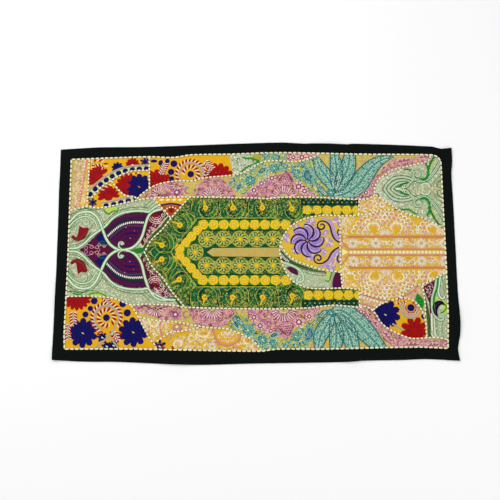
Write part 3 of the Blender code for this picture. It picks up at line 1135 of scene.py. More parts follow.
# %% Green brocade
cloth = Embroidery("green_panel")
squiggles(cloth, 8.5, 3.2, ("olive", "pine", "lime", "sand", "pine"), 1.6, 4)
scatter(cloth, 4.9, [
    ("leaf", "leaf", 6, 2.4), ("leaf", "pine", 7, 3.2), ("leaf", "straw", 4.5, 1.8),
    ("leaf", "fir", 6, 2.6), ("dot", "sand", 1.5, 1.5), ("leaf", "olive", 5, 2), ("dot", "rust", 1.3, 1.3),
    ("leaf", "fir", 6, 2.6),
], 3)
for side in (1, -1):
    at = beside(GREEN_MIDLINE, side)
    inner = at(GREEN_INNER)
    cloth.fill([*at(GREEN_EDGE), *inner[::-1]], "leaf", 1)
    cloth.fill([*inner, at((60, 0))], "fir", 1)
    for route, thread, width, shift in (
        (GREEN_EDGE, "pine", 2.6, 0), (GREEN_INNER, "pine", 2.6, 0), (GREEN_EDGE, "lime", 1.3, 3.6),
        ([(-134, 0), (-113, 18), (66, 18)], "pine", 1.6, 0),
    ):
        route = at(np.array(route) + (-shift, shift))
        steps = [np.linspace(a, b, max(2, ceil(hypot(*(b - a)) / 6))) for a, b in zip(route, route[1:])]
        cloth.line(np.concatenate(steps), thread, width, 4)
    for k in range(9):
        rose(cloth, *at((-136 + 26.3 * k, 71.5)), 13, 40 * k, 4)
    for k in range(4):
        rose(cloth, *at((-151 - 15 * k, 56 - 15.6 * k)), 12.4, 40 * k, 4)
    for k in range(5):
        rosette(cloth, *at((-127 + 42.4 * k, 34)), 22.6)
        for dx, away, thread, size in (
            (0, 34, "olive", 8), (0, 34, "gold", 3.6), (0, 34, "terra", 1.8), (0, 50, "rust", 1.6),
            (-7, 54, "straw", 1.4), (8, 53, "leaf", 2.2), (-9, 21, "leaf", 2.2), (7, 20, "rust", 1.5),
            (-1, 24, "straw", 1.6),
        ):
            level = 4 if size > 2.4 else 6
            cloth.dot(*at((-106 + 42.4 * k + dx, away)), thread, size, level)
    for x, away, turn in GREEN_BUDS:
        bud_spray(cloth, *at((x, away)), turn * side, side)
    scatter(cloth, 6.4, [
        ("leaf", "straw", 4.4, 1.7), ("dot", "sand", 1.5, 1.5), ("leaf", "pine", 6, 2.6),
        ("dot", "teal", 1.4, 1.4), ("leaf", "olive", 4, 1.8),
    ], 6 + side, at([(-150, 92), (112, 92), (112, 140), (-150, 140)]), level=7)
    for k in range(6):
        rose(cloth, *at((130 + 25.6 * k, 109)), 12.4, 50 * k, 3)
    cloth.line(np.linspace(at((122, 97)), at((262, 95)), 24), "pine", 2.4, 4)
    cloth.fill(at([(114, 121), (262, 121), (262, 139), (114, 139)]), "pine", 1)
    for k in range(12):
        spot, size = at((122 + 12.3 * k, 129.5)), 7.4 if k < 2 else 5.6
        cloth.dot(*spot, ("fir", "lagoon")[k % 2], size, 3)
        ring(cloth, *spot, size * 0.66, "pine", size * 0.4, 6)
        cloth.dot(*spot, ("gold", "lagoon", "straw", "terra")[k % 4], 1.7, 7)
        cloth.dot(*at((128 + 12.3 * k, 136)), "straw", 1.3, 6)
rosette(cloth, -156, GREEN_MIDLINE, 22)
bar = [(-128, -3), (-112, 9), (66, 9), (66, -15), (-112, -15)]
cloth.fill(bar, "sand", 4)
cloth.line(bar, "pine", 2.8, 6, closed=True)
cloth.finish()

# %% [markdown]
# ## Mint silk beside the green point
# Two pale ribbons cross here over a pointed plum shape, curl back at the middle and leave two
# commas of crimson at the left. A band of crimson lace and a dark green edge fill the corners
# beside the green patch. Again one half is drawn and mirrored over the midline.

# %% Lines of the mint silk
MINT_MIDLINE = 3
INNER_ROW = [(-373, 28), (-353, 46), (-331, 58), (-290, 58)]
MINT_RIBBONS = [
    # width, places from the left, the second number away from the midline
    (6.4, [(-484, 4), (-458, 5), (-440, 16), (-420, 36), (-387, 61), (-371, 79), (-351, 93), (-322, 100),
           (-292, 101), (-276, 99), (-262, 110), (-240, 122), (-214, 128)]),
    (7, [(-484, 66), (-460, 92), (-440, 99), (-420, 95), (-405, 79), (-391, 46), (-383, 28), (-371, 12),
         (-352, 1), (-335, 1), (-320, 4), (-304, 16), (-292, 36), (-284, 66), (-277, 87)]),
    (5, [(-484, 44), (-476, 64), (-456, 82), (-436, 86), (-418, 78), (-408, 62)]),
    (4.6, [(-340, 1), (-350, 7), (-350, 18), (-342, 20), (-338, 14)]),
]
MINT_TAILS = {1: [(-266, 99), (-240, 107)], -1: [(-266, 110), (-244, 126), (-204, 127)]}
MINT_LINES = [
    # thread, width, places
    ("plum", 11, [(-388, 50), (-367, 70), (-347, 82), (-322, 88), (-282, 90)]),
    ("purple", 2.4, [(-384, 44), (-364, 64), (-344, 76), (-322, 82), (-284, 83)]),
    ("pine", 5, [(-383, 40), (-363, 60), (-343, 72), (-322, 78), (-286, 78)]),
    ("teal", 2.2, [(-374, 30), (-354, 49), (-331, 62), (-288, 62)]),
    ("navy", 5, [(-334, 40), (-318, 43), (-304, 40)]), ("teal", 4, [(-404, 17), (-394, 22), (-386, 19)]),
    ("jade", 1.8, [(-406, 12), (-394, 15), (-385, 13)]),
    ("pink", 1.1, [(-380, 14), (-388, 8), (-396, 12), (-402, 6), (-398, 0)]),
    ("pink", 1.1, [(-444, 4), (-436, 12), (-424, 13), (-414, 6), (-404, 2)]),
    ("fir", 1.5, [(-484, 76), (-462, 100), (-440, 107), (-416, 102), (-398, 84), (-388, 62)]),
    ("fir", 1.4, [(-482, 30), (-470, 56), (-454, 72)]),
    ("leaf", 1.5, [(-482, 20), (-460, 21), (-438, 30), (-420, 48)]),
    ("fir", 1.3, [(-482, 12), (-458, 14), (-440, 24), (-424, 42)]),
    ("fir", 1.5, [(-390, 70), (-368, 92), (-340, 106), (-300, 111), (-272, 108)]),
    ("jade", 1.8, [(-432, 104), (-414, 104), (-396, 106)]),
    ("leaf", 2.6, [(-484, 108), (-462, 106), (-444, 110), (-430, 106)]),
    ("moss", 1.6, [(-484, 84), (-468, 98)]), ("sage", 2, [(-484, 34), (-478, 52), (-462, 70)]),
    ("fir", 1.3, [(-470, 24), (-448, 32), (-430, 50), (-414, 70)]),
    ("sage", 2.2, [(-284, 106), (-272, 116), (-260, 126)]),
    ("leaf", 1.2, [(-292, 109), (-280, 120), (-270, 130)]),
    ("crimson", 2.6, [(-262, 62), (-256, 57), (-253, 63), (-259, 67)]),
    ("crimson", 2, [(-279, 32), (-274, 27), (-271, 34)]),
]
LACE_ARCS = [
    # centre, radii, angles
    (-256, 90, (7, 12, 17, 22), 196, 344), (-247, 95, (10, 14.6), 10, 150),
    (-262, 58, (3.4, 7.8), 160, 340), (-250, 66, (3, 7), -90, 120), (-273, 40, (3, 7), 150, 340),
    (-281, 26, (3, 6.4), 130, 340),
]
print("mint lines:", len(MINT_LINES), "ribbons:", len(MINT_RIBBONS))

# %% Mint silk with the plum point
cloth = Embroidery("mint_left")
scatter(cloth, 3.8, [
    ("dot", "frost", 1.6, 1.6), ("leaf", "cream", 3.4, 1.7), ("leaf", "sage", 3.2, 1.4),
    ("leaf", "moss", 2.8, 1.1), ("leaf", "moss", 2, 0.9),
], 11)
for side in (1, -1):
    at = beside(MINT_MIDLINE, side)
    plum = soft_line([(-452, 0), (-432, 16), (-412, 36), (-390, 56), (-368, 78), (-326, 96), (-276, 96)], 5)
    cloth.fill(at([*plum, *soft_line([(-276, 96), (-286, 54), (-304, 14), (-336, 0)], 5)[1:]]), "plum")
    cloth.fill(at([(-410, 30), (-396, 44), (-385, 30), (-381, 12), (-396, 14)]), "navy", 1)
    cloth.fill(at([(-434, 0), (-414, 16), (-396, 12), (-376, 2), (-376, 0)]), "wine", 1)
    for x, away, radius in ((-434, 5, 4), (-420, 8, 4.4), (-406, 7, 4), (-401, 13, 3.4), (-388, 9, 3)):
        cloth.line(at(circle(x, away, radius)), "pink", 1, 3, closed=True)
    row, heart = soft_line(INNER_ROW, 4), (-318, 4)
    for k in range(9):
        cloth.line(at(heart + (row - heart) * (0.94 - 0.1 * k)), ("purple", "wine")[k % 2], 3, 2, 0.8)
    for thread, width, places in MINT_LINES:
        cloth.line(at(soft_line(places, 4)), thread, width, 3, 0.8, style="flat" if width > 4 else "raised")
    lace = [(-274, 96), (-262, 104), (-234, 102), (-226, 92), (-240, 74), (-256, 56), (-276, 34), (-290, 10),
            (-296, 20), (-284, 52), (-279, 74)]
    cloth.fill(at(lace), "wine")
    for x, away, radii, start, end in LACE_ARCS:
        for radius in radii:
            cloth.line(at(arc(x, away, radius, start, end)), "blush", 1.9, 3, 0.8)
    squiggles(cloth, 5.6, 2.3, ("pink", "blush", "pink", "white"), 1.6, 21,
              at([(-262, 84), (-240, 84), (-262, 50), (-284, 16), (-280, 40)]), 4)
    if side < 0:
        corner = at([(-266, 100), (-254, 114), (-238, 122), (-206, 122), (-214, 108), (-228, 88)])
        cloth.fill(corner, "wine", 1)
        squiggles(cloth, 5.4, 2.3, ("pink", "blush", "white"), 1.6, 22, corner, 4)
    cloth.fill(at([(-266, 84), (-256, 95), (-249, 84)]), "crimson", 6)
    cloth.line(at(coil(-240, 91, 1, 6.5, 0, 420)), "mint", 2.2, 4)
    for spot in ((-334, 58), (-322, 30), (-312, 50)):
        cloth.dot(*at(spot), "pink", 1.2, 5)
    row = soft_line([(-378, 34), (-357, 54), (-340, 65), (-318, 70.5), (-288, 70)], 3)
    for spot, angle in spaced(row, 4.8):
        cloth.stamp("leaf", *at(spot - (1.6, 2.6)), "white", 7, 3.4, side * (angle + 1.1), 5)
    for width, places in MINT_RIBBONS:
        body = at(soft_line(places + (MINT_TAILS[side] if width == 7 else []), 4))
        ribbon(cloth, body, width, "leaf", 1.3)
        # Painted highlight: the frost line along each ribbon's middle.
        cloth.line(body, "frost", width * 0.34, 5)
    cloth.dot(*at((-343, 16)), "mint", 4.4, 5)
    cloth.line(at(coil(-438, 70, 1.5, 9.5, 0, 430)), "mint", 4, 4)
    cloth.line(at(coil(-438, 70, 3, 11.5, 0, 430)), "leaf", 1, 6)
    boot = [(-453, 62), (-456, 46), (-460, 33), (-468, 38), (-473, 33), (-460, 23), (-442, 27), (-432, 42),
            (-430, 57), (-442, 57), (-453, 62)]
    cloth.fill(at(soft_line(boot, 4)[:-1]), "crimson", 2)
for edge in (
    [(-218, 95), (-245, 60), (-274, 30), (-289, -2)],
    [(-289, -5), (-270, -40), (-244, -68), (-219, -104), (-190, -138)],
):
    cloth.band(soft_line(edge, 4), "moss", 7, 4)
cloth.fill([(-322, 1), (-306, 7), (-287, 9), (-285, -2), (-300, -7)], "leaf", 6)
for zigzag, ground in (
    ([(-394, 108), (-380, 96), (-368, 104), (-358, 104), (-354, 112)],
     [(-396, 112), (-380, 98), (-368, 105), (-358, 106), (-358, 116)]),
    ([(-464, -108), (-454, -110), (-430, -114), (-416, -108), (-394, -108), (-378, -116), (-366, -122)],
     [(-424, -112), (-394, -104), (-368, -118), (-398, -120)]),
):
    cloth.fill(ground, "lime", 2)
    jagged(cloth, soft_line(zigzag, 3), "jade", 4.6)
cloth.finish()

# %% [markdown]
# ## Gold silk with the pinwheel flower
# Eight lilac petals turn round a small eye, each with a dark purple edge on its outer side. Two
# purple scrolls uncurl from it towards the right-hand seam. A petal is a long leaf bent to one
# side, so its outline is worked out once and turned.

# %% Gold silk with the pinwheel flower
PINWHEEL_PETAL = [(0, 0), (20, -10), (43, 0)]


def pinwheel(cloth, x, y):
    """A round flower whose petals are all bent the same way."""
    petal, spine, half = vane(PINWHEEL_PETAL, 21, 1.3)
    for k in range(8):
        turn = 45 * k + 10
        cloth.fill(placed(petal, x, y, turn), "lilac", k % 2)
        for share in (0.35, -0.1):
            cloth.line(placed((spine + half * share)[4:-3], x, y, turn), "violet", 1.2, 5)
        cloth.line(placed(spine + half, x, y, turn), "violet", 1.3, 5)
        cloth.line(placed(spine - half, x, y, turn), "purple", 4.2, 6, 0.7)
        for share in (0.45, 0.62, 0.78):
            spot = placed(spine[round(share * len(spine))], x, y, turn)
            cloth.dot(*spot, "slate", 1.3, 5)
    cloth.dot(x, y, "purple", 4.4, 8)
    cloth.dot(x, y, "gold", 3, 11)


def lilac_tuft(cloth, x, y, turn, size):
    """A loose tuft of small lilac leaves."""
    for k in range(6):
        angle = radians(turn + 50 * (k - 2.5))
        cloth.stamp("leaf", x, y, ("lilac", "lilac", "pearl")[k % 3], 14 * size, 5.4 * size, angle, 2)
        cloth.stamp("leaf", *off(x, y, 3, angle), "violet", 9 * size, 1.4 * size, angle, 4)
        cloth.dot(*off(x, y, 11 * size, angle + 0.4), "orchid", 1.2, 3)


cloth = Embroidery("gold_lozenge")
cloth.draw(
    lilac_tuft, (78, 34, 180, 1), (138, 72, 90, 1.2), (136, -14, 270, 1), (103, 60, 130, 0.8),
    (99, 2, 220, 0.8), (184, 22, 0, 1.1), (206, 76, 60, 1.1), (190, -42, 290, 1), (176, 44, 120, 0.7),
    (172, 0, 200, 0.7), (206, 40, 300, 0.8), (204, -4, 300, 0.8), (200, -22, 300, 0.8),
    (186, -38, 300, 0.8),
)
for x, y, start in ((180, 46, 40), (176, -6, 60)):
    bow(cloth, x, y, 8, start, start + 220, "lilac", 4, 3, 0.4)
for places, x, y, turn, flip in (
    ([(216, 20), (200, 30), (192, 47), (188, 64), (179, 75), (167, 78)], 167, 65, 90, 1),
    ([(216, 12), (200, 4), (190, -6), (181, -22), (168, -31), (157, -32)], 157, -19, -90, -1),
):
    scroll = soft_line(places, 4)
    cloth.band(scroll + sideways(scroll) * 7 * -flip, "lilac", 8, 3, 0.6)
    cloth.line(scroll, "purple", 4.4, 5, 0.8)
    cloth.line(coil(x, y, 13, 3, turn, turn + flip * 430), "purple", 4, 5, 0.8)
cloth.draw(bow, (216, 48, 9, 110, 250, "purple", 3.4, 4), (216, -20, 11, 90, 260, "purple", 3.6, 4))
pinwheel(cloth, 130, 27)
scatter(cloth, 9, [("leaf", "amber", 3, 1.2), ("leaf", "lilac", 3, 1.4)], 5)
cloth.finish()

# %% [markdown]
# ## Mint crescent
# Below the pinwheel lies an offcut of the mint silk: a dark olive edge along the seam, pale bands
# with thin green lines, one curl, a plum leaf and a plum block at its right end. It is too small
# a piece of the pattern to be mirrored, so each line has its own places.

# %% Mint crescent
cloth = Embroidery("mint_crescent")
scatter(cloth, 4.6, [("dot", "frost", 1.5, 1.5), ("leaf", "olive", 2.6, 1), ("dot", "mint", 1.3, 1.3)], 12)
cloth.band(soft_line([(59, 4), (85, -26), (116, -41), (150, -51), (184, -57)], 5), "moss", 10, 2, 0.4)
cloth.fill([(60, -4), (76, -24), (84, -31), (66, -28)], "wine", 1)
for k in range(5):
    bow(cloth, 65 + 3.6 * k, -12 - 3.6 * k, 2.6, 60 * k, 60 * k + 280, "white", 1.4, 5)
cloth.fill(vane([(76, -42), (94, -50), (106, -62)], 15)[0], "plum", 2)
cloth.dot(93, -50, "crimson", 2.4, 5)
curl = [(66, -29), (87, -36), (108, -48), (118, -65), (114, -79), (102, -76), (107, -66)]
ribbon(cloth, soft_line(curl, 4), 6.4, "sage", 1.2)
strokes(cloth, [
    ("sage", 1.3, [(108, -41), (136, -48), (174, -52)]),
    ("grey", 1.6, [(112, -46), (140, -53), (174, -56)]),
    ("sage", 1.6, [(122, -54), (146, -61), (174, -62)]),
    ("sage", 1.6, [(126, -92), (150, -92), (176, -93)]),
    ("jade", 2.6, [(190, -53), (188, -64), (182, -78), (174, -74)]),
    ("grey", 5, [(194, -54), (189, -74), (188, -92)]),
])
cloth.fill([(177, -52), (187, -52), (184, -74), (177, -72)], "lime", 2)
cloth.fill(soft_line([(200, -54), (212, -56), (220, -94), (194, -94), (193, -74), (200, -54)], 6), "plum", 2)
cloth.finish()

# %% [markdown]
# ## Rose and teal bands
# Two long cuts of one printed silk lie above and below the green patch. On a mustard ground they
# have half-round rose fans with pale ribs, ringed florets, teal flowers and a large spray of teal
# plumes. Between them everything is filled with small curls, as the print is. Each figure is a
# function of its place, size and turn, because both bands use it.

# %% Rose figures
RIB_PITCH = 7.2


def sunburst(cloth, x, y, inner, outer, turn, sweep):
    """A half-round fan: a gold eye with seeds round it, and pale ribs with dark gaps."""
    start = turn - sweep / 2
    cloth.fill(arc(x, y, outer, start, start + sweep), "dusk", 2)
    cloth.fill(arc(x, y, inner, start, start + sweep), "olive", 4)
    ribs = max(5, round(radians(sweep) * outer / RIB_PITCH))
    for k in range(ribs):
        angle = radians(start + sweep * (k + 0.5) / ribs)
        thread = ("blush", "pearl", "pink")[k % 3]
        cloth.stamp("petal", *off(x, y, inner, angle), thread, outer - inner + 2, 3.7, angle, 5)
        cloth.dot(*off(x, y, inner - 3, angle), "blush", 1.3, 6)
    cloth.dot(x, y, "crimson", 3, 6)


def lace_fan(cloth, x, y, radii, turn, sweep):
    """Rows of small rose hoops over a fan."""
    hoop_rows(cloth, x, y, radii, turn, sweep, 8, ("pink", "blush", "dusk", "pink", "rose"))


def flame(cloth, x, y, turn, size):
    """Rows of pink hoops over a fan, narrowing to a point."""
    outline = vane([(-0.1 * size, 0), (size * 0.5, -1), (size * 1.1, 2)], size * 1.2, 0.7)[0]
    cloth.fill(placed(outline, x, y, turn), "dusk", 3)
    loop = arc(0, 0, size * 0.085, -110, 110)
    for row in range(6):
        for k in range(6 - row):
            spot = placed((size * (0.02 + 0.17 * row), (k - (5 - row) / 2) * size * 0.2), x, y, turn)
            cloth.line(placed(loop, *spot, turn), ("pink", "blush")[row % 2], size * 0.06, 7, 0.4)


def ring_floret(cloth, x, y, radius, ground="blush"):
    """A round floret: pale scalloped petals and a dark ring round a pale eye."""
    cloth.dot(x, y, "dusk", radius * 1.14, 3)
    flower(cloth, x, y, radius * 1.26, 8, ground, None, inner=0.3, fullness=0.96, level=4)
    ring(cloth, x, y, radius * 0.52, "dusk", radius * 0.3, 7)
    cloth.dot(x, y, "pearl", radius * 0.34, 8)


def spindle(cloth, x, y, length, width, turn):
    """A long pointed figure: a pale edge, a pink body and a dark heart with a seam."""
    shape = vane([(-length / 2, 0), (0, width * 0.1), (length / 2, 0)], width)
    outline, spine = (placed(line, x, y, turn) for line in shape[:2])
    cloth.fill(outline, "mauve", 3)
    cloth.line(outline, "blush", 1.7, 7, closed=True)
    for k, spot in enumerate(spine[2:-2:2]):
        cloth.stamp("leaf", *spot, ("pearl", "dusk")[k % 2], width * 0.62, 2.4, radians(turn) + 0.9, 6)
    cloth.line(spine[2:-2], "dusk", 1.5, 7)


print("rose figures ready")

# %% [markdown]
# The teal flowers, leaves and plumes are thick with pale seeds, which lie in lanes along each leaf.
# The grounds between the figures are random, from threads of the same colours.

# %% Teal figures and grounds
def teal_floret(cloth, x, y, radius, turn):
    """A teal flower with veined petals."""
    cloth.dot(x, y, "teal", radius * 0.9, 3)
    flower(cloth, x, y, radius, 6, "lagoon", None, start=turn, inner=0.1, fullness=0.95, level=5)
    flower(cloth, x, y, radius * 0.72, 6, "sea", "frost", start=turn + 30, inner=0.15, fullness=0.7,
           middle=0.2, level=6)
    for k in range(6):
        angle = radians(turn + 60 * (k + 0.5))
        cloth.dot(*off(x, y, 0.84 * radius, angle), "frost", 1.1, 7)


def teal_leaf(cloth, x, y, length, width, turn):
    """A broad teal leaf in a fringe of small pale ones, with a blue-grey heart."""
    outline = vane([(-length / 2, 0), (0, 2), (length / 2, 0)], width)[0]
    cloth.fill(placed(outline, x, y, turn), "lagoon", 3)
    for spot, angle in spaced(placed(outline, x, y, turn), 4.4):
        cloth.stamp("leaf", *spot, "sea", 5, 3, angle - pi / 2, 4)
        cloth.dot(*spot, "frost", 1, 6)
    heart = placed(vane([(-length / 4, 1), (0, 3), (length / 4, 1)], width * 0.42)[0], x, y, turn)
    cloth.fill(heart, "slate", 4)
    cloth.line(heart, "teal", 1.8, 7, closed=True)
    for spot, angle in spaced(placed(outline, x, y, turn, 0.72), 3.8):
        cloth.stamp("leaf", *spot, "frost", 3.4, 1.4, angle + 0.6, 6)


def plume(cloth, places, width, fullness=0.8):
    """A long teal leaf along a line of places: dark edges, a vein, and lanes of pale seeds."""
    outline, spine, half = vane(places, width, fullness, 5)
    cloth.fill(outline, "sea", 3)
    cloth.line(outline, "teal", 1.6, 7, closed=True)
    for way in (1, -1):
        cloth.line((spine + half * way * 0.86)[1:-1], "lagoon", 2.4, 5, 0.5)
        cloth.line((spine + half * way * 0.62)[1:-1], "lagoon", 1.2, 6)
        for share, length in ((0.76, 3.4), (0.5, 4.6), (0.22, 3.8)):
            lane = (spine + half * way * share)[1:-1]
            for k, (spot, angle) in enumerate(spaced(lane, length + 0.8)):
                lean = angle + way * (0.3 + 0.3 * (k % 3))
                cloth.stamp("leaf", *spot, "teal" if k % 5 == 4 else "frost", length, 2.3, lean, 6)
    for spot, angle in spaced(spine[2:-2], 7.5):
        cloth.stamp("leaf", *spot, "teal", 6.4, 2.8, angle, 7)


def rose_teal_ground(cloth, seed):
    """Small curls that fill what the figures leave free."""
    squiggles(cloth, 8, 2.6, ("rose", "gold", "straw", "mauve"), 1.5, seed, level=1)
    seeds = [("dot", "lemon", 1.4, 1.4), ("leaf", "amber", 3, 1.6), ("leaf", "sea", 4, 1.8)]
    scatter(cloth, 8, seeds, seed + 1)


def pink_filling(cloth, region, seed):
    """A stretch that is rose all over, with pale and dark curls and mustard showing between."""
    cloth.fill(region, "mauve")
    scatter(cloth, 7.6, [("leaf", "gold", 8, 3.6), ("leaf", "olive", 8, 3), ("leaf", "sand", 8, 4)], seed + 5,
            region, level=2)
    squiggles(cloth, 6.4, 3.2, ("pink", "blush", "dusk", "pink", "dusk", "wine"), 2, seed, region)


def foliage(cloth, region, seed):
    """A stretch thick with small teal leaves and pale seeds."""
    cloth.fill(region, "olive")
    scatter(cloth, 5.4, [
        ("leaf", "sea", 15, 7), ("leaf", "lagoon", 14, 5), ("leaf", "sea", 11, 5), ("leaf", "teal", 9, 3),
        ("leaf", "frost", 6, 2.4), ("dot", "frost", 1.6, 1.6), ("leaf", "mint", 8, 3.4),
        ("leaf", "straw", 5, 2.4),
    ], seed, region, level=2)
    scatter(cloth, 6.6, [("dot", "frost", 1.1, 1.1), ("leaf", "mint", 4.4, 1.6), ("leaf", "teal", 5, 1.6),
                         ("dot", "straw", 1.3, 1.3), ("leaf", "frost", 3.6, 1.3)], seed + 9, region, level=8)


print("teal figures ready")

# %% [markdown]
# The stretches of rose and of small teal leaves are filled first. The figures are given higher
# levels, so they lie on top of them.

# %% Upper rose and teal band
cloth = Embroidery("rose_band_upper")
rose_teal_ground(cloth, 21)
foliage(cloth, [(-62, 198), (-58, 160), (-40, 146), (-12, 166), (14, 187), (38, 202), (69, 207), (86, 212),
                (96, 187), (113, 179), (129, 171), (148, 152), (168, 136), (180, 150), (162, 200),
                (158, 256),
                (108, 240), (47, 240), (23, 238), (7, 231), (-38, 206)], 26)
for region in (
    [(-300, 138), (-262, 168), (-214, 182), (-186, 178), (-188, 138)],
    [(-158, 138), (-150, 168), (-136, 188), (-92, 190), (-66, 168), (-52, 138)],
    [(-36, 138), (-12, 162), (14, 183), (38, 198), (69, 203), (85, 208), (92, 183), (113, 175), (129, 167),
     (147, 149), (160, 138)],
    [(234, 136), (300, 190), (330, 214), (350, 240), (470, 252), (476, 236), (400, 222), (330, 200),
     (304, 160), (304, 136)],
):
    pink_filling(cloth, region, 22)
cloth.band(soft_line([(-22, 138), (0, 160), (40, 182)], 5), "orchid", 11, 3)
cloth.draw(
    sunburst, (-252, 146, 6, 20, 112, 150), (-112, 137, 9, 29, 90, 180), (70, 137, 13, 32, 90, 180),
    (-206, 172, 4, 13, 250, 160),
)
cloth.draw(lace_fan, (-112, 137, (34, 42, 50), 90, 180), (70, 137, (38, 46), 90, 130))
cloth.line([(-270, 156), (-252, 148), (-230, 138)], "plum", 2.4, 6)
flame(cloth, 74, 172, 84, 32)
bow(cloth, -176, 158, 8, 80, 300, "orchid", 5, 4, 0.4)
cloth.draw(
    ring_floret, (-6, 158, 9), (13, 176, 9), (40, 190, 9), (109, 168, 11), (124, 156, 9), (146, 146, 7),
    (282, 152, 8), (262, 144, 7), (300, 172, 7), (296, 186, 6),
)
cloth.draw(spindle, (330, 216, 22, 9, 40), (382, 236, 44, 12, 10), (440, 246, 48, 12, 4))
ring_floret(cloth, -205, 153, 11, "orchid")
cloth.draw(
    teal_floret, (-16, 184, 15, 30), (46, 217, 14, 0), (76, 221, 9, 40), (103, 205, 13, 20),
    (120, 228, 8, 0),
)
cloth.draw(
    teal_leaf, (16, 209, 34, 18, 30), (-44, 166, 28, 14, 60), (-56, 186, 18, 9, 110), (135, 197, 50, 32, 108),
)
cloth.draw(
    plume, ([(184, 142), (168, 158), (151, 182)], 12),
    ([(200, 156), (188, 184), (166, 216), (152, 256)], 38),
    ([(203, 156), (206, 190), (207, 224), (196, 282)], 34),
    ([(205, 152), (222, 186), (238, 222), (246, 290)], 42),
    ([(196, 142), (228, 149), (262, 172), (282, 200), (304, 225), (328, 240), (356, 248)], 48),
)
teal_floret(cloth, 192, 152, 13, 0)
cloth.finish()

# %% [markdown]
# The lower cut nearly mirrors the upper one, but not closely enough for a loop over both, so its
# figures have places of their own.

# %% Lower rose and teal band
cloth = Embroidery("rose_band_lower")
rose_teal_ground(cloth, 31)
foliage(cloth, [(-50, -160), (-24, -168), (-18, -180), (-3, -198), (22, -212), (48, -220), (82, -225),
                (94, -206), (98, -193), (118, -190), (143, -177), (160, -158), (178, -160), (140, -200),
                (122, -254), (13, -254), (-2, -236), (-23, -219), (-66, -200), (-72, -186)], 36)
for region in (
    [(-308, -134), (-300, -154), (-240, -172), (-190, -174), (-190, -136)],
    [(-176, -140), (-160, -176), (-140, -190), (-96, -198), (-66, -176), (-48, -140)],
    [(-30, -142), (-15, -176), (-1, -194), (24, -208), (49, -216), (81, -221), (90, -202), (94, -189),
     (117, -186), (141, -173), (164, -142)],
    [(236, -140), (262, -168), (310, -212), (346, -250), (478, -250), (478, -224), (400, -220), (330, -196),
     (300, -160), (284, -138)],
):
    pink_filling(cloth, region, 32)
cloth.band(soft_line([(-22, -146), (4, -166), (30, -190)], 5), "orchid", 11, 3)
cloth.draw(
    sunburst, (-254, -146, 6, 20, 270, 160), (-112, -144, 9, 29, 270, 180), (68, -147, 13, 32, 270, 180),
)
cloth.draw(lace_fan, (-112, -144, (34, 42, 50), 270, 180), (68, -147, (38, 46), 270, 130))
cloth.line([(-280, -139), (-254, -150), (-230, -142)], "plum", 2.4, 6)
flame(cloth, 74, -180, 278, 32)
bow(cloth, -176, -161, 8, 60, 330, "orchid", 4, 4, 0.4)
cloth.draw(
    ring_floret, (-7, -168, 9), (9, -189, 9), (35, -202, 8), (106, -180, 11), (132, -166, 8),
    (148, -152, 6), (262, -154, 8), (278, -168, 7),
)
cloth.draw(
    spindle, (296, -184, 24, 12, -55), (326, -216, 38, 13, -48), (386, -237, 48, 13, 2),
    (440, -238, 36, 12, 6), (472, -236, 12, 9, 20),
)
cloth.stamp("leaf", 352, -246, "crimson", 12, 5, 0.5, 6)
for k in range(9):
    cloth.stamp("leaf", 306 + 9 * k, -206 - 4 * k, ("sand", "pearl", "amber")[k % 3], 8, 3.4, -0.6, 5)
ring_floret(cloth, -204, -161, 11, "orchid")
cloth.draw(
    teal_floret, (-22, -200, 15, 10), (14, -224, 14, 20), (41, -233, 12, 0), (98, -216, 14, 0),
    (72, -240, 9, 10),
)
cloth.draw(
    teal_leaf, (-52, -186, 28, 14, 300), (44, -214, 30, 14, 20), (-4, -232, 24, 12, 330),
    (129, -210, 50, 30, 252),
)
cloth.draw(
    plume, ([(-32, -190), (-44, -176), (-54, -162)], 9), ([(178, -150), (162, -164), (150, -184)], 12),
    ([(190, -160), (176, -186), (160, -214), (150, -262)], 38),
    ([(194, -160), (199, -200), (198, -232), (190, -286)], 36),
    ([(198, -158), (222, -192), (236, -226), (250, -286)], 42),
    ([(188, -150), (218, -153), (249, -178), (278, -210), (302, -236), (340, -270)], 50),
)
teal_floret(cloth, 187, -158, 13, 0)
cloth.finish()

# %% [markdown]
# A narrow offcut of the same silk lies under the top hem, with a row of florets.

# %% Teal offcut
cloth = Embroidery("teal_sliver")
rose_teal_ground(cloth, 41)
foliage(cloth, [(-20, 236), (-20, 262), (72, 262), (72, 236)], 43)
cloth.draw(teal_floret, (0, 248, 10, 10), (24, 250, 9, 10), (48, 247, 9, 10))
pink_filling(cloth, [(82, 232), (82, 262), (170, 262), (150, 232)], 42)
cloth.draw(ring_floret, (96, 246, 8), (118, 246, 9), (140, 246, 8))
cloth.finish()

# %% [markdown]
# ## Gold silk with cream lace
# The broad patch at the right is gold silk woven with cream and rose. Pairs of rose lines run along
# it, with a string of cream beads between the middle pair and a row of daisies on each side. Over
# the daisies rise domes of small hoops, with two large curls and a palmette in the middle. The
# hoops are what makes it look like lace, so they are laid one by one along ovals.

# %% Figures of the cream lace
def daisy(cloth, x, y, radius, thread="pearl"):
    """A round daisy of sixteen narrow pale petals on a darker ground."""
    cloth.dot(x, y, "sand", radius * 0.92, 3)
    for shift, petal in ((0, thread), (22.5, "white")):
        flower(cloth, x, y, radius, 8, petal, "blush", shift, inner=0.16, fullness=0.34, middle=0.16, level=5)


def big_curl(cloth, x, y, radius, turn, flip):
    """A bold open curl with a thin blush line inside it as painted shade."""
    curl = coil(0, 0, radius * 0.72, radius, 20, 330)
    heart = coil(0, 0, radius * 0.3, radius * 0.7, -60, 200)
    cloth.line(placed(curl, x, y, turn, flip=flip), "white", radius * 0.34, 6, 0.4)
    # Painted shade: the thin blush line inside the curl.
    cloth.line(placed(heart, x, y, turn, flip=flip), "blush", radius * 0.14, 5)


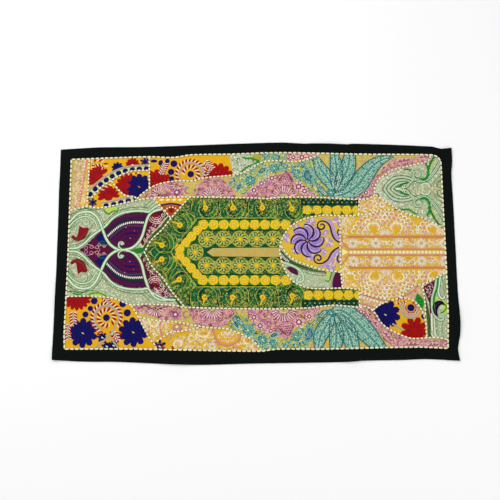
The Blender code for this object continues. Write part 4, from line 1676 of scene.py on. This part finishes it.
def lace_dome(cloth, x, y, wide, high, turn):
    """An oval dome of hoops over two large curls and a palmette."""

    def at(points):
        return placed(points, x, y, turn - 90)

    dome = arc(0, 0, wide, 4, 176) * (1, high / wide)
    band = at([*dome, *dome[::-1] * 0.6])
    squiggles(cloth, 6.4, 2.6, ("blush", "pearl", "rose", "cream"), 1.4, round(x), band)
    squiggles(cloth, 6.6, 2.5, ("cream", "pearl", "blush", "white"), 1.7, round(x) + 1, at(dome * 0.62))
    for k in range(9):
        hoop(cloth, *at(((k - 4) * 0.21 * wide, 3)), 9.4, turn, ("cream", "blush")[k % 2])
    for row, (share, start) in enumerate(((1.16, 48), (1, 5), (0.83, 5), (0.66, 5))):
        rim = at(arc(0, 0, wide, start, 180 - start) * (share, share * high / wide))
        for k, (spot, angle) in enumerate(spaced(rim, 11.6)):
            if within(np.array([spot]), cloth.rim)[0]:
                thread = ("cream", "white", "cream", "blush")[(k + row) % 4]
                hoop(cloth, *spot, 12.6 + 1.6 * (k % 2), degrees(angle) - 90, thread)
    for way in (1, -1):
        eye = at((way * 0.36 * wide, 0.36 * high))
        cloth.fill(placed(circle(0, 0, 15) * (1.15, 0.86), *eye, turn - 90), "gold", 5)
        # Painted shade: each large cream curl has a thin blush arc inside it.
        for curl, thread, width in (
            (arc(0, 0, 12.4, -50, 240) * (1.2, 0.92), "cream", 5),
            (arc(2, 1, 6, -60, 200) * (1.3, 0.9), "blush", 2.4),
        ):
            cloth.line(placed(curl, *eye, turn - 90, flip=-way), thread, width, 8, 0.6)
    for across, up in (
        (0, 0.56), (-0.11, 0.46), (0.11, 0.46), (-0.58, 0.14), (0.58, 0.14), (-0.62, 0.42), (0.62, 0.42),
    ):
        hoop(cloth, *at((across * wide, up * high)), 9, turn - 60 * across, "blush")
    flower(cloth, *at((0, 0.02 * high)), 17, 8, "pearl", None, start=turn - 80, sweep=160, inner=0.2,
           fullness=0.7, level=4)
    cloth.dot(*at((0, 0.62 * high)), "amber", 2.4, 7)


print("figures of the cream lace ready")

# %% [markdown]
# The lines, daisies and domes of this patch mirror each other, so a loop draws one side after the
# other, and what lies on the midline comes last.

# %% Broad gold patch
CREAM_MIDLINE = -3

cloth = Embroidery("cream_main")
for side in (1, -1):
    at = beside(CREAM_MIDLINE, side)
    squiggles(cloth, 6.2, 2.7, ("cream", "white", "blush", "cream", "mauve"), 2.2, 54 + side,
              at([(212, 12), (212, 96), (230, 96), (224, 70), (240, 42), (232, 24), (222, 12)]))
    squiggles(cloth, 8, 3.6, ("cream", "white", "blush"), 2.4, 60 + side,
              at([(212, 42), (234, 46), (250, 84), (276, 110), (212, 110)]))
    squiggles(cloth, 7, 2.6, ("cream", "white", "blush", "rose"), 2, 52 + side,
              at([(236, 12), (240, 35), (480, 35), (480, 12)]))
    for away, thread, width in ((7.4, "terra", 4.6), (38.4, "terra", 3.6), (41.2, "amber", 1.6)):
        cloth.line(np.linspace(at((233, away)), at((484, away)), 40), thread, width, 5)
    cloth.line(soft_line(at([(234, 7), (226, 18), (216, 32)]), 4), "terra", 3.6, 5)
    for k in range(5):
        daisy(cloth, *at((246 + 58 * k, 23)), 14.5)
    for k in range(4):
        for way in (1, -1):
            big_curl(cloth, *at((275 + 58 * k + way * 6.5, 23)), 5.6, 90 * side, way)
    cloth.draw(lace_dome, (*at((329, 43)), 82, 58, 90 * side), (*at((470, 43)), 56, 50, 90 * side))
cloth.fill([(218, 6), (234, -3), (218, -12)], "cream", 2)
cloth.band(np.linspace((236, CREAM_MIDLINE), (484, CREAM_MIDLINE), 40), "straw", 8, 2)
for k in range(26):
    cloth.dot(240 + 9.6 * k, CREAM_MIDLINE, "cream", 4.2, 4)
    cloth.dot(244.8 + 9.6 * k, CREAM_MIDLINE, "terra", 1.2, 5)
cloth.finish()

# %% [markdown]
# This piece of the lace is too small for a dome. Rows of hoops round three centres look like it.

# %% Small gold patch
cloth = Embroidery("cream_small")
squiggles(cloth, 9.5, 3.4, ("white", "cream", "blush"), 2.6, 55, level=1)
for x, y, turn in ((284, 100, 70), (330, 118, 110), (286, 126, 60)):
    hoop_rows(cloth, x, y, (8, 18), turn, 220)
    cloth.dot(x, y, "blush", 3, 3)
cloth.finish()

# %% [markdown]
# ## Orange cotton with satin stitch
# Several small patches come from one bold embroidery: scarlet and navy flowers in thick satin
# stitch on plain orange, with grey twisted stems, pairs of red and white leaflets, and navy dots.
# Satin stitch lies in long smooth tongues, so a petal is one raised stamp with a dark gap beside it as
# painted shade.

# %% Figures of the orange cotton
def satin_flower(cloth, x, y, radius, petals, thread, start=0, eye=None, sweep=360):
    """A flower of long round-ended petals with dark gaps of painted shade, and a small slanting eye where it
    has one.
    """
    # Painted shade: a dark ink or wine leaf lies between each pair of petals, where shade falls.
    gap = "ink" if thread == "navy" else "wine"
    cloth.dot(x, y, thread, radius * 0.42, 2)
    width = min(0.5 * radius, 1.55 * radius * sin(radians(sweep) / petals / 2) * 1.2)
    for k in range(petals):
        angle = radians(start + sweep * (k + 0.5) / petals)
        cloth.stamp("drop", *off(x, y, radius, angle), thread, radius * 0.86, width, angle + pi, 3)
        angle += radians(sweep / petals / 2)
        cloth.stamp("leaf", *off(x, y, 0.2 * radius, angle), gap, radius * 0.62, 1.5, angle, 6)
    if eye:
        cloth.stamp("leaf", x - 3, y + 1, eye, 7.5, 3.4, -0.5, 8)


def twisted_stem(cloth, points, width=5):
    """A grey cord of two strands, drawn as a line with slanting pale stitches."""
    cloth.line(points, "grey", width, 5, 0.8)
    for spot, angle in spaced(points, 4.6):
        cloth.stamp("leaf", *off(*spot, -2, angle), "pearl", width * 0.8, 1.2, angle + 0.6, 8)


def leaflets(cloth, points, length, pitch, sides=(1, -1)):
    """Red leaves along a stem, with narrow white ones between."""
    for k, ((x, y), angle) in enumerate(spaced(points, pitch / 2)):
        for side in sides:
            foot = (x - 1.6 * side * sin(angle), y + 1.6 * side * cos(angle))
            thread, size, width = (("white", 0.86, 2.3), ("scarlet", 1.06, 5.4))[k % 2]
            cloth.stamp("leaf", *foot, thread, length * size, width, angle + side * 0.95, 5 - k % 2)


def scroll_ring(cloth, x, y, radius, start, end, inner=-40):
    """A twisted stem curled round a navy dot, with leaves outside and inside."""
    loop = arc(x, y, radius, start, end)
    way = 1 if end < start else -1
    leaflets(cloth, loop, radius * 0.4, 8, (way,))
    leaflets(cloth, arc(x, y, radius * 0.42, start + inner * way, end), radius * 0.46, 6.4, (way,))
    twisted_stem(cloth, loop, 5.6)
    navy_dot(cloth, x, y, 9)


def navy_dot(cloth, x, y, radius):
    cloth.dot(x, y, "navy", radius, 4)


def oval_row(cloth, points):
    """Navy ovals in a row along a grey band."""
    cloth.band(points, "celery", 15, 1)
    twisted_stem(cloth, points + sideways(points) * 9, 6)
    for spot, angle in spaced(points, 19):
        cloth.stamp("dot", *spot, "navy", 8.8, 6.2, angle, 4)


print("figures of the orange cotton ready")

# %% [markdown]
# Three pieces of the cotton spread like a fan. Its seams cut through the large flowers, so those
# are drawn over part of a turn.

# %% Fan at the upper left
cloth = Embroidery("fan_outer")
satin_flower(cloth, -409, 194, 31, 9, "scarlet", 30, None, 230)
leaflets(cloth, soft_line([(-432, 216), (-424, 230), (-402, 230), (-394, 220)], 3), 13, 12)
cloth.draw(
    satin_flower, (-360, 218, 16, 6, "navy", -10, None, 240),
    (-321, 226, 19, 7, "scarlet", -10, "white", 220), (-289, 234, 14, 6, "navy", 10),
)
oval_row(cloth, soft_line([(-441, 124), (-425, 152), (-394, 181), (-361, 202), (-325, 213), (-276, 216)], 4))
cloth.finish()

cloth = Embroidery("fan_left")
satin_flower(cloth, -381, 142, 29, 9, "scarlet", -8, None, 214)
leaflets(cloth, soft_line([(-404, 158), (-394, 170), (-380, 178)], 3), 12, 12)
satin_flower(cloth, -421, 126, 12, 6, "navy")
oval_row(cloth, soft_line([(-396, 117), (-370, 121), (-344, 128), (-302, 139)], 4))
cloth.finish()

cloth = Embroidery("fan_right")
cloth.draw(
    satin_flower, (-330, 168, 36, 9, "scarlet", 70, None, 200), (-303, 168, 35, 11, "navy", 8, "amber"),
)
cloth.dot(-303, 168, "navy", 27, 2)
leaflets(cloth, [(-336, 203), (-320, 207), (-304, 208)], 6, 12)
cloth.finish()

# %% [markdown]
# This band has the two largest flowers and a scroll curled round a navy dot.

# %% Long orange band
cloth = Embroidery("scroll_band")
cloth.draw(navy_dot, (-247, 231, 8), (-231, 236, 6.6), (-214, 229, 9.5), (-221, 207, 9), (-219, 189, 7))
cloth.stamp("dot", -266, 236, "navy", 9, 4.6)
satin_flower(cloth, -258, 172, 43, 14, "scarlet")
for stem in ([(-248, 200), (-242, 214), (-236, 230)], [(-134, 236), (-124, 226), (-112, 214)]):
    leaflets(cloth, soft_line(stem, 3), 10, 6)
    twisted_stem(cloth, soft_line(stem, 3), 4.4)
scroll_ring(cloth, -170, 201, 30, 232, -78)
twisted_stem(cloth, soft_line([(-142, 222), (-136, 206), (-146, 188)], 3))
satin_flower(cloth, -100, 188, 44, 8, "scarlet", -12, None, 204)
leaflets(cloth, [(-144, 182), (-134, 196), (-128, 212)], 12, 6)
cloth.finish()

# %% [markdown]
# Three large flowers stand round a second scroll. A sliver and a triangle of the cotton follow.
# Stitches that cross a seam are drawn in to it, so the flowers can be placed as if they were whole.

# %% Orange corner at the lower left
cloth = Embroidery("orange_corner")
cloth.draw(
    satin_flower, (-452, -114, 38, 9, "scarlet", 176, None, 188), (-435, -207, 38, 10, "navy", 0, "straw"),
    (-309, -205, 38, 10, "navy", 4, "straw"),
)
cloth.draw(navy_dot, (-409, -127, 9), (-418, -146, 7), (-430, -161, 8), (-337, -134, 9.5), (-325, -157, 9.5))
for run, length in (
    ([(-460, -152), (-460, -168), (-458, -184)], 10), ([(-388, -112), (-378, -126), (-367, -140)], 8),
    ([(-360, -204), (-352, -214), (-346, -226)], 9), ([(-470, -184), (-474, -202), (-470, -222)], 9),
):
    leaflets(cloth, soft_line(run, 3), length, 7)
    twisted_stem(cloth, soft_line(run, 3), 4)
for x, y in ((-386, -218), (-374, -240), (-357, -238)):
    cloth.draw(satin_flower, (x, y, 14, 6, "navy", 20, "frost"), (x, y, 9, 6, "navy", 50))
for x, y, turn in (
    (-358, -222, -0.5), (-352, -212, 0.2), (-394, -200, 2.6), (-384, -204, 3.6), (-366, -202, 5),
):
    cloth.stamp("leaf", x, y, "scarlet", 17, 10, turn, 3)
    cloth.stamp("leaf", *off(x, y, 4, turn), "white", 8, 2.2, turn, 5)
scroll_ring(cloth, -377, -169, 30, 250, -34, inner=60)
twisted_stem(cloth, soft_line([(-352, -186), (-364, -208), (-384, -228), (-410, -250)], 4))
twisted_stem(cloth, soft_line([(-366, -218), (-352, -236), (-336, -252)], 4), 4.6)
cloth.finish()

cloth = Embroidery("orange_sliver")
cloth.draw(satin_flower, (-242, -240, 17, 6, "navy"), (-242, -240, 14, 3, "scarlet", 30, "white"))
leaflets(cloth, soft_line([(-276, -196), (-266, -208), (-260, -220)], 3), 9, 7)
satin_flower(cloth, -207, -250, 12, 5, "scarlet")
cloth.finish()

cloth = Embroidery("orange_triangle")
cloth.line(soft_line([(-250, 118), (-219, 123), (-190, 118)], 4), "purple", 5, 3)
cloth.fill([(-246, 116), (-219, 120), (-194, 116), (-219, 84)], "rust", 1)
satin_flower(cloth, -219, 106, 9, 7, "scarlet")
for k in range(6):
    angle = radians(20 + 28 * k)
    cloth.dot(-219 + 16 * cos(angle), 101 + 13 * sin(angle), "cream", 2.2, 4)
satin_flower(cloth, -221, 88, 8, 5, "navy")
for k in range(4):
    cloth.stamp("leaf", -250 + 16 * k, 133, "cream", 12, 7, 0.1, 3)
cloth.finish()

# %% [markdown]
# A navy and a scarlet flower lie side by side. The leaves of the stem over them all point inwards.

# %% Orange patch at the lower right
cloth = Embroidery("corner_flowers")
cloth.draw(satin_flower, (323, -161, 39, 10, "navy", 5, "straw"), (396, -203, 37, 9, "scarlet", 12))
leaflets(cloth, arc(388, -144, 22, 130, 400), 13, 6.4, (1,))
twisted_stem(cloth, arc(388, -144, 25, 150, 335), 6.4)
cloth.dot(388, -144, "navy", 9.6, 6)
twisted_stem(cloth, soft_line([(340, -184), (352, -192), (368, -200)], 3))
leaflets(cloth, soft_line([(350, -127), (360, -128), (374, -124)], 3), 8, 7)
cloth.draw(navy_dot, (420, -166, 7), (412, -128, 5), (398, -120, 5))
cloth.finish()

# %% [markdown]
# ## The small patches
# What is left are slivers and corners of the same mint silk and cream lace: a mint corner with an
# almond figure, a striped mint strip, a gold strip with lace, and a few wedges.

# %% Mint corner
CORNER_MIDLINE = 162
CORNER_STROKES = [
    # thread, width, places from the left, the second number away from the midline
    ("mint", 3.8, [(329, 0), (339, 15), (352, 26), (368, 31), (388, 30), (404, 25)]),
    ("fir", 1.6, [(325, 0), (337, 18), (351, 30), (368, 35), (388, 34), (403, 29)]),
    ("fir", 1.6, [(334, 0), (343, 13), (356, 23), (370, 27), (388, 26), (402, 21)]),
    ("mint", 3.4, [(339, 0), (348, 11), (360, 20), (374, 23), (390, 23)]),
    ("fir", 1.5, [(344, 0), (352, 9), (364, 17), (376, 20), (390, 20)]),
    ("mint", 3.4, [(349, 0), (358, 8), (368, 14), (380, 17)]),
    ("fir", 1.4, [(353, 0), (361, 7), (371, 12), (384, 16), (396, 18)]),
    ("mint", 3, [(378, 2), (388, 5), (394, 14), (404, 22), (412, 25)]),
    ("fir", 1.5, [(381, 0), (391, 3), (398, 13), (406, 19), (414, 22)]),
    ("leaf", 1.4, [(456, 10), (462, 22), (470, 30), (484, 44)]),
    ("leaf", 1.4, [(464, 6), (472, 18), (484, 26)]),
    ("leaf", 1.6, [(484, 3), (470, 4), (465, 12), (470, 20), (484, 24)]),
    ("frost", 3, [(425, 10), (434, 15), (444, 12), (448, 4)]),
    ("leaf", 1.2, [(423, 13), (435, 18), (447, 14), (451, 5)]),
]

cloth = Embroidery("mint_corner")
scatter(cloth, 4.2, [
    ("dot", "frost", 1.9, 1.9), ("leaf", "sage", 3, 1.1), ("leaf", "cream", 3.4, 1.9),
    ("leaf", "moss", 2.2, 0.8),
], 71)
for side in (1, -1):
    at = beside(CORNER_MIDLINE, side)
    for k in range(18):
        angle = radians(92 + 9.5 * k)
        tick = [(372 + r * 1.2 * cos(angle), r * 0.9 * sin(angle)) for r in (45, 52)]
        cloth.line(at(tick), "pearl", 1.9, 3)
    for places, width in (
        ([(356, 0), (368, 6), (382, 8), (390, 2)], 4.4), ([(366, 4), (376, 12), (390, 15), (398, 14)], 4),
    ):
        cloth.fill(at(vane(places, width)[0]), "leaf", 2)
    cloth.line(at(coil(378, 7, 1, 5, 90, 420)), "frost", 2, 5)
    strokes(cloth, CORNER_STROKES, at)
    rail = [(405, 30), (413, 23), (430, 21), (446, 29), (459, 43), (471, 62), (484, 86)]
    ribbon(cloth, at(soft_line(rail, 4)), 8.6, "fir", 1.6, middle=True)
    cloth.line(at(coil(416, 38, 2, 12, 60, 560)), "mint", 3.8, 5)
    cloth.line(at(coil(416, 38, 4, 14, 60, 560)), "fir", 1.3, 7)
    for places, width, thread in (
        ([(420, 27), (436, 26), (444, 38), (444, 48)], 7.5, "jade"),
        ([(444, 36), (445, 52), (438, 72)], 5, "jade"),
        ([(444, 46), (449, 62), (458, 80), (468, 94)], 4.6, "leaf"),
        ([(449, 50), (455, 64), (465, 80)], 4, "lime"),
    ):
        cloth.fill(at(vane(places, width, 0.8)[0]), thread, 4)
        if thread != "lime":
            jagged(cloth, at(soft_line(places, 3)), thread, 6.8, 5)
cloth.stamp("leaf", 358, CORNER_MIDLINE, "frost", 13, 6, 0, 5)
squiggles(cloth, 6, 2.6, ("olive", "cream", "sage", "straw", "blush"), 1.3, 72,
          [(402, 144), (474, 150), (474, 174), (402, 180)])
for zigzag in (
    [(382, 213), (392, 214), (400, 212)], [(307, 150), (313, 147), (318, 141)], [(330, 196), (338, 200)],
    [(365, 107), (380, 108), (394, 107), (402, 100), (411, 96)],
):
    jagged(cloth, zigzag, "jade", 6.4)
cloth.line([(392, 102), (402, 95), (412, 91)], "lime", 3, 3)
cloth.finish()

# %% [markdown]
# The strip has straight woven stripes at its foot, and ribbons come down from its upper end and
# curl. The wedge under the top hem is almost all ground, with a bristly green edge.

# %% Striped mint strip and mint wedge
cloth = Embroidery("mint_stripe")
scatter(cloth, 5, [("dot", "frost", 1.4, 1.4), ("leaf", "olive", 3, 1.1)], 73)
for x, thread, width in (
    (436, "pine", 2), (439.6, "pearl", 5), (443, "pine", 1.6), (446, "mint", 5), (449.4, "fir", 1.6),
    (453, "sage", 1.3),
):
    cloth.band([(x, -156), (x - 0.5, -190), (x + 1, -226)], thread, width, 2)
cloth.fill([(420, -92), (452, -74), (447, -96), (440, -118), (438, -140)], "wine", 3)
cloth.band(soft_line([(417, -94), (423, -120), (429, -150), (431.5, -180), (432, -226)], 5), "moss", 7, 4)
squiggles(cloth, 5, 2, ("white", "blush"), 1.4, 75, [(424, -96), (446, -82), (443, -102), (436, -124)], 5)
strokes(cloth, [
    ("wine", 3.4, [(436, -130), (437, -158)]),
    ("jade", 3.6, [(460, -66), (458, -90), (450, -112), (447, -134), (449, -152)]),
    ("jade", 3.4, [(473, -134), (477, -142), (470, -154), (462, -158)]),
    ("sage", 1.4, [(470, -64), (472, -90), (474, -112)]), ("sage", 1.4, [(476, -70), (477, -104)]),
    ("sage", 1.2, [(468, -176), (464, -196), (468, -222)]),
])
for places, body in (
    ([(456, -62), (451, -92), (443, -115), (441, -138), (443, -155), (450, -168), (460, -175), (468, -173),
      (468, -165)], "mint"),
    ([(466, -62), (461.5, -87), (459, -104), (463, -118), (471, -121), (474, -114)], "frost"),
):
    ribbon(cloth, soft_line(places, 4), 6.4, "fir", 1.4)
    cloth.line(soft_line(places, 4), body, 2.4, 5)
patch = [(449, -116), (462, -126), (477, -128), (476, -160), (462, -136), (448, -138), (449, -116)]
cloth.fill(soft_line(patch, 5), "lime", 2)
comma, spine, _ = vane([(474, -138), (466, -132), (456, -134), (449, -144), (449, -156), (456, -166)], 15)
cloth.fill(comma, "ink", 4)
cloth.line(spine[5:-2], "plum", 4, 6, 0.3)
cloth.line(coil(464, -143, 1, 5, 0, 400), "frost", 2, 6)
cloth.finish()

cloth = Embroidery("mint_wedge")
scatter(cloth, 4.4, [("dot", "white", 1.7, 1.7), ("leaf", "frost", 3.4, 1.6), ("leaf", "olive", 2.6, 1)], 74)
wedge = [(-34, 243), (-8, 240), (10, 232), (-8, 217), (-34, 204), (0, 210), (60, 236), (20, 262)]
cloth.fill(wedge, "olive", 1)
squiggles(cloth, 6.4, 2.6, ("pearl", "mint", "moss", "frost"), 1.5, 76)
for places in ([(-36, 246), (-28, 243), (-14, 243), (-2, 240), (9, 235)],
               [(9, 235), (-4, 230), (-16, 224), (-28, 217), (-40, 207)]):
    jagged(cloth, soft_line(places, 3), "jade", 6.6)
cloth.finish()

# %% [markdown]
# Curls of several pale threads, thrown at random, look more like worn lace than an even pattern.

# %% Gold strip with lace
cloth = Embroidery("gold_strip")
cloth.fill([(-500, 250), (-471, 250), (-471, 150), (-480, 96), (-500, 96)], "sand")
band = [(-468, 250), (-443, 250), (-452, 150), (-462, 96), (-480, 96)]
cloth.fill(band, "sand")
squiggles(cloth, 4.8, 2.2, ("pearl", "cream", "blush", "pearl", "mauve"), 1.9, 84, band)
squiggles(cloth, 6, 2.4, ("cream", "sand", "pearl", "sand", "straw", "terra"), 2.2, 81)
scatter(cloth, 9, [("leaf", "gold", 5, 2.4), ("dot", "olive", 2, 2)], 83,
        [(-500, 250), (-469, 250), (-468, 150), (-476, 96), (-500, 96)], level=2)
scatter(cloth, 4.6, [("dot", "cream", 1.8, 1.8), ("leaf", "blush", 3.8, 2), ("dot", "pearl", 1.7, 1.7),
                   ("dot", "rust", 1.1, 1.1), ("leaf", "straw", 3, 1.6), ("leaf", "pearl", 3.6, 2)], 82)
cloth.band(soft_line([(-440, 244), (-447, 190), (-458, 108)], 5), "terra", 6.4, 4)
for k in range(15):
    cloth.dot(-436, 238 - 8.6 * k, "amber", 1.8, 4)
    cloth.dot(-443.5 - 0.95 * k, 238 - 8.6 * k, "white", 2.2, 4)
cloth.finish()

# %% [markdown]
# Two cuts of the cream lace meet along a curved seam. Their open curls are broad arcs over a ground
# of small ones, and a half-round medallion of hoops lies in the lower cut.

# %% Paisley patches
cloth = Embroidery("paisley_upper")
squiggles(cloth, 7.6, 3.3, ("cream", "white", "blush", "pearl", "mauve"), 2.2, 91)
bow(cloth, -257, -182, 10, 150, 390, "cream", 5, 6)
hoop_rows(cloth, -257, -182, (19,), 270, 200, 9.5)
bow(cloth, -278, -174, 7, 90, 420, "cream", 3.4, 6)
cloth.line(soft_line([(-240, -176), (-242, -194), (-236, -218)], 4), "terra", 4.6, 5)
for k in range(6):
    cloth.stamp("leaf", -234 + 1.2 * k, -184 - 6 * k, "pearl", 9, 3, 0.3, 4)
hoop(cloth, -200, -194, 24, 270, "mauve")
cloth.dot(-200, -192, "white", 3, 5)
cloth.stamp("leaf", -226, -216, "frost", 14, 7, 0.6, 5)
cloth.finish()

cloth = Embroidery("paisley_lower")
squiggles(cloth, 7.6, 3.3, ("cream", "white", "blush", "pearl", "mauve"), 2.2, 92)
cloth.fill([(-204, -212), (-168, -203), (-170, -212), (-202, -216)], "gold", 3)
cloth.line(coil(-194, -236, 4, 14, -60, 200), "cream", 5, 6)
bow(cloth, -194, -238, 7, 20, 160, "blush", 3, 6)
for x, y, radius, start, sweep, width in (
    (-163, -221, 7, 0, 330, 4), (-134, -200, 17, 180, 180, 5), (-148, -214, 5, 60, 240, 3),
    (-112, -214, 5, 200, 240, 3), (-24, -226, 8, 100, 230, 4), (-30, -240, 6, 200, 250, 3),
    (-6, -240, 6, 40, 230, 3.4), (-124, -222, 5, 0, 250, 3),
):
    bow(cloth, x, y, radius, start, start + sweep, "cream", width, 6, 0.6)
medallion = arc(-73, -203, 35, 172, 368)
cloth.fill(medallion, "gold", 2)
cloth.line(medallion, "terra", 5, 6)
hoop_rows(cloth, -73, -203, (13, 23), 270, 172, 10, ("white", "cream", "blush"))
flower(cloth, -73, -203, 11, 7, "pearl", None, start=182, sweep=176, level=4)
cloth.draw(daisy, (-111, -240, 11), (-171, -244, 9, "blush"))
bow(cloth, -52, -262, 20, 60, 160, "terra", 3, 5)
cloth.fill([(-46, -238), (-30, -238), (-28, -246), (-48, -246)], "gold", 3)
cloth.finish()

# %% [markdown]
# Two small wedges fill gaps between the seams, so a ground of curls and a few lines are enough.

# %% Pale rose wedges
cloth = Embroidery("cream_wedge")
squiggles(cloth, 8, 2.8, ("white", "cream", "gold", "cream"), 2.2, 95)
for places, width in (
    ([(258, -108), (292, -119), (328, -128)], 3.4), ([(262, -134), (284, -140), (304, -146)], 3),
):
    cloth.line(soft_line(places, 5), "terra", width, 5)
for k in range(9):
    cloth.dot(262 + 8.4 * k, -118 - 2.2 * k, "cream", 3, 5)
cloth.finish()

cloth = Embroidery("pink_wedge")
squiggles(cloth, 8, 2.8, ("white", "cream", "blush", "gold"), 2.2, 96)
cloth.line([(362, -128), (386, -108), (410, -88)], "terra", 3.4, 5)
cloth.fill(vane([(405, -108), (411, -130), (415, -150)], 21)[0], "jade", 2)
for k in range(9):
    cloth.dot(407 + 4.4 * (k % 3), -121 - 8 * (k // 3), "pine", 1.4, 5)
cloth.dot(400, -103, "amber", 4.4, 4)
cloth.dot(400, -103, "rust", 1.8, 6)
cloth.finish()

# %% [markdown]
# ## The end

# %% The end
bpy.context.view_layer.update()
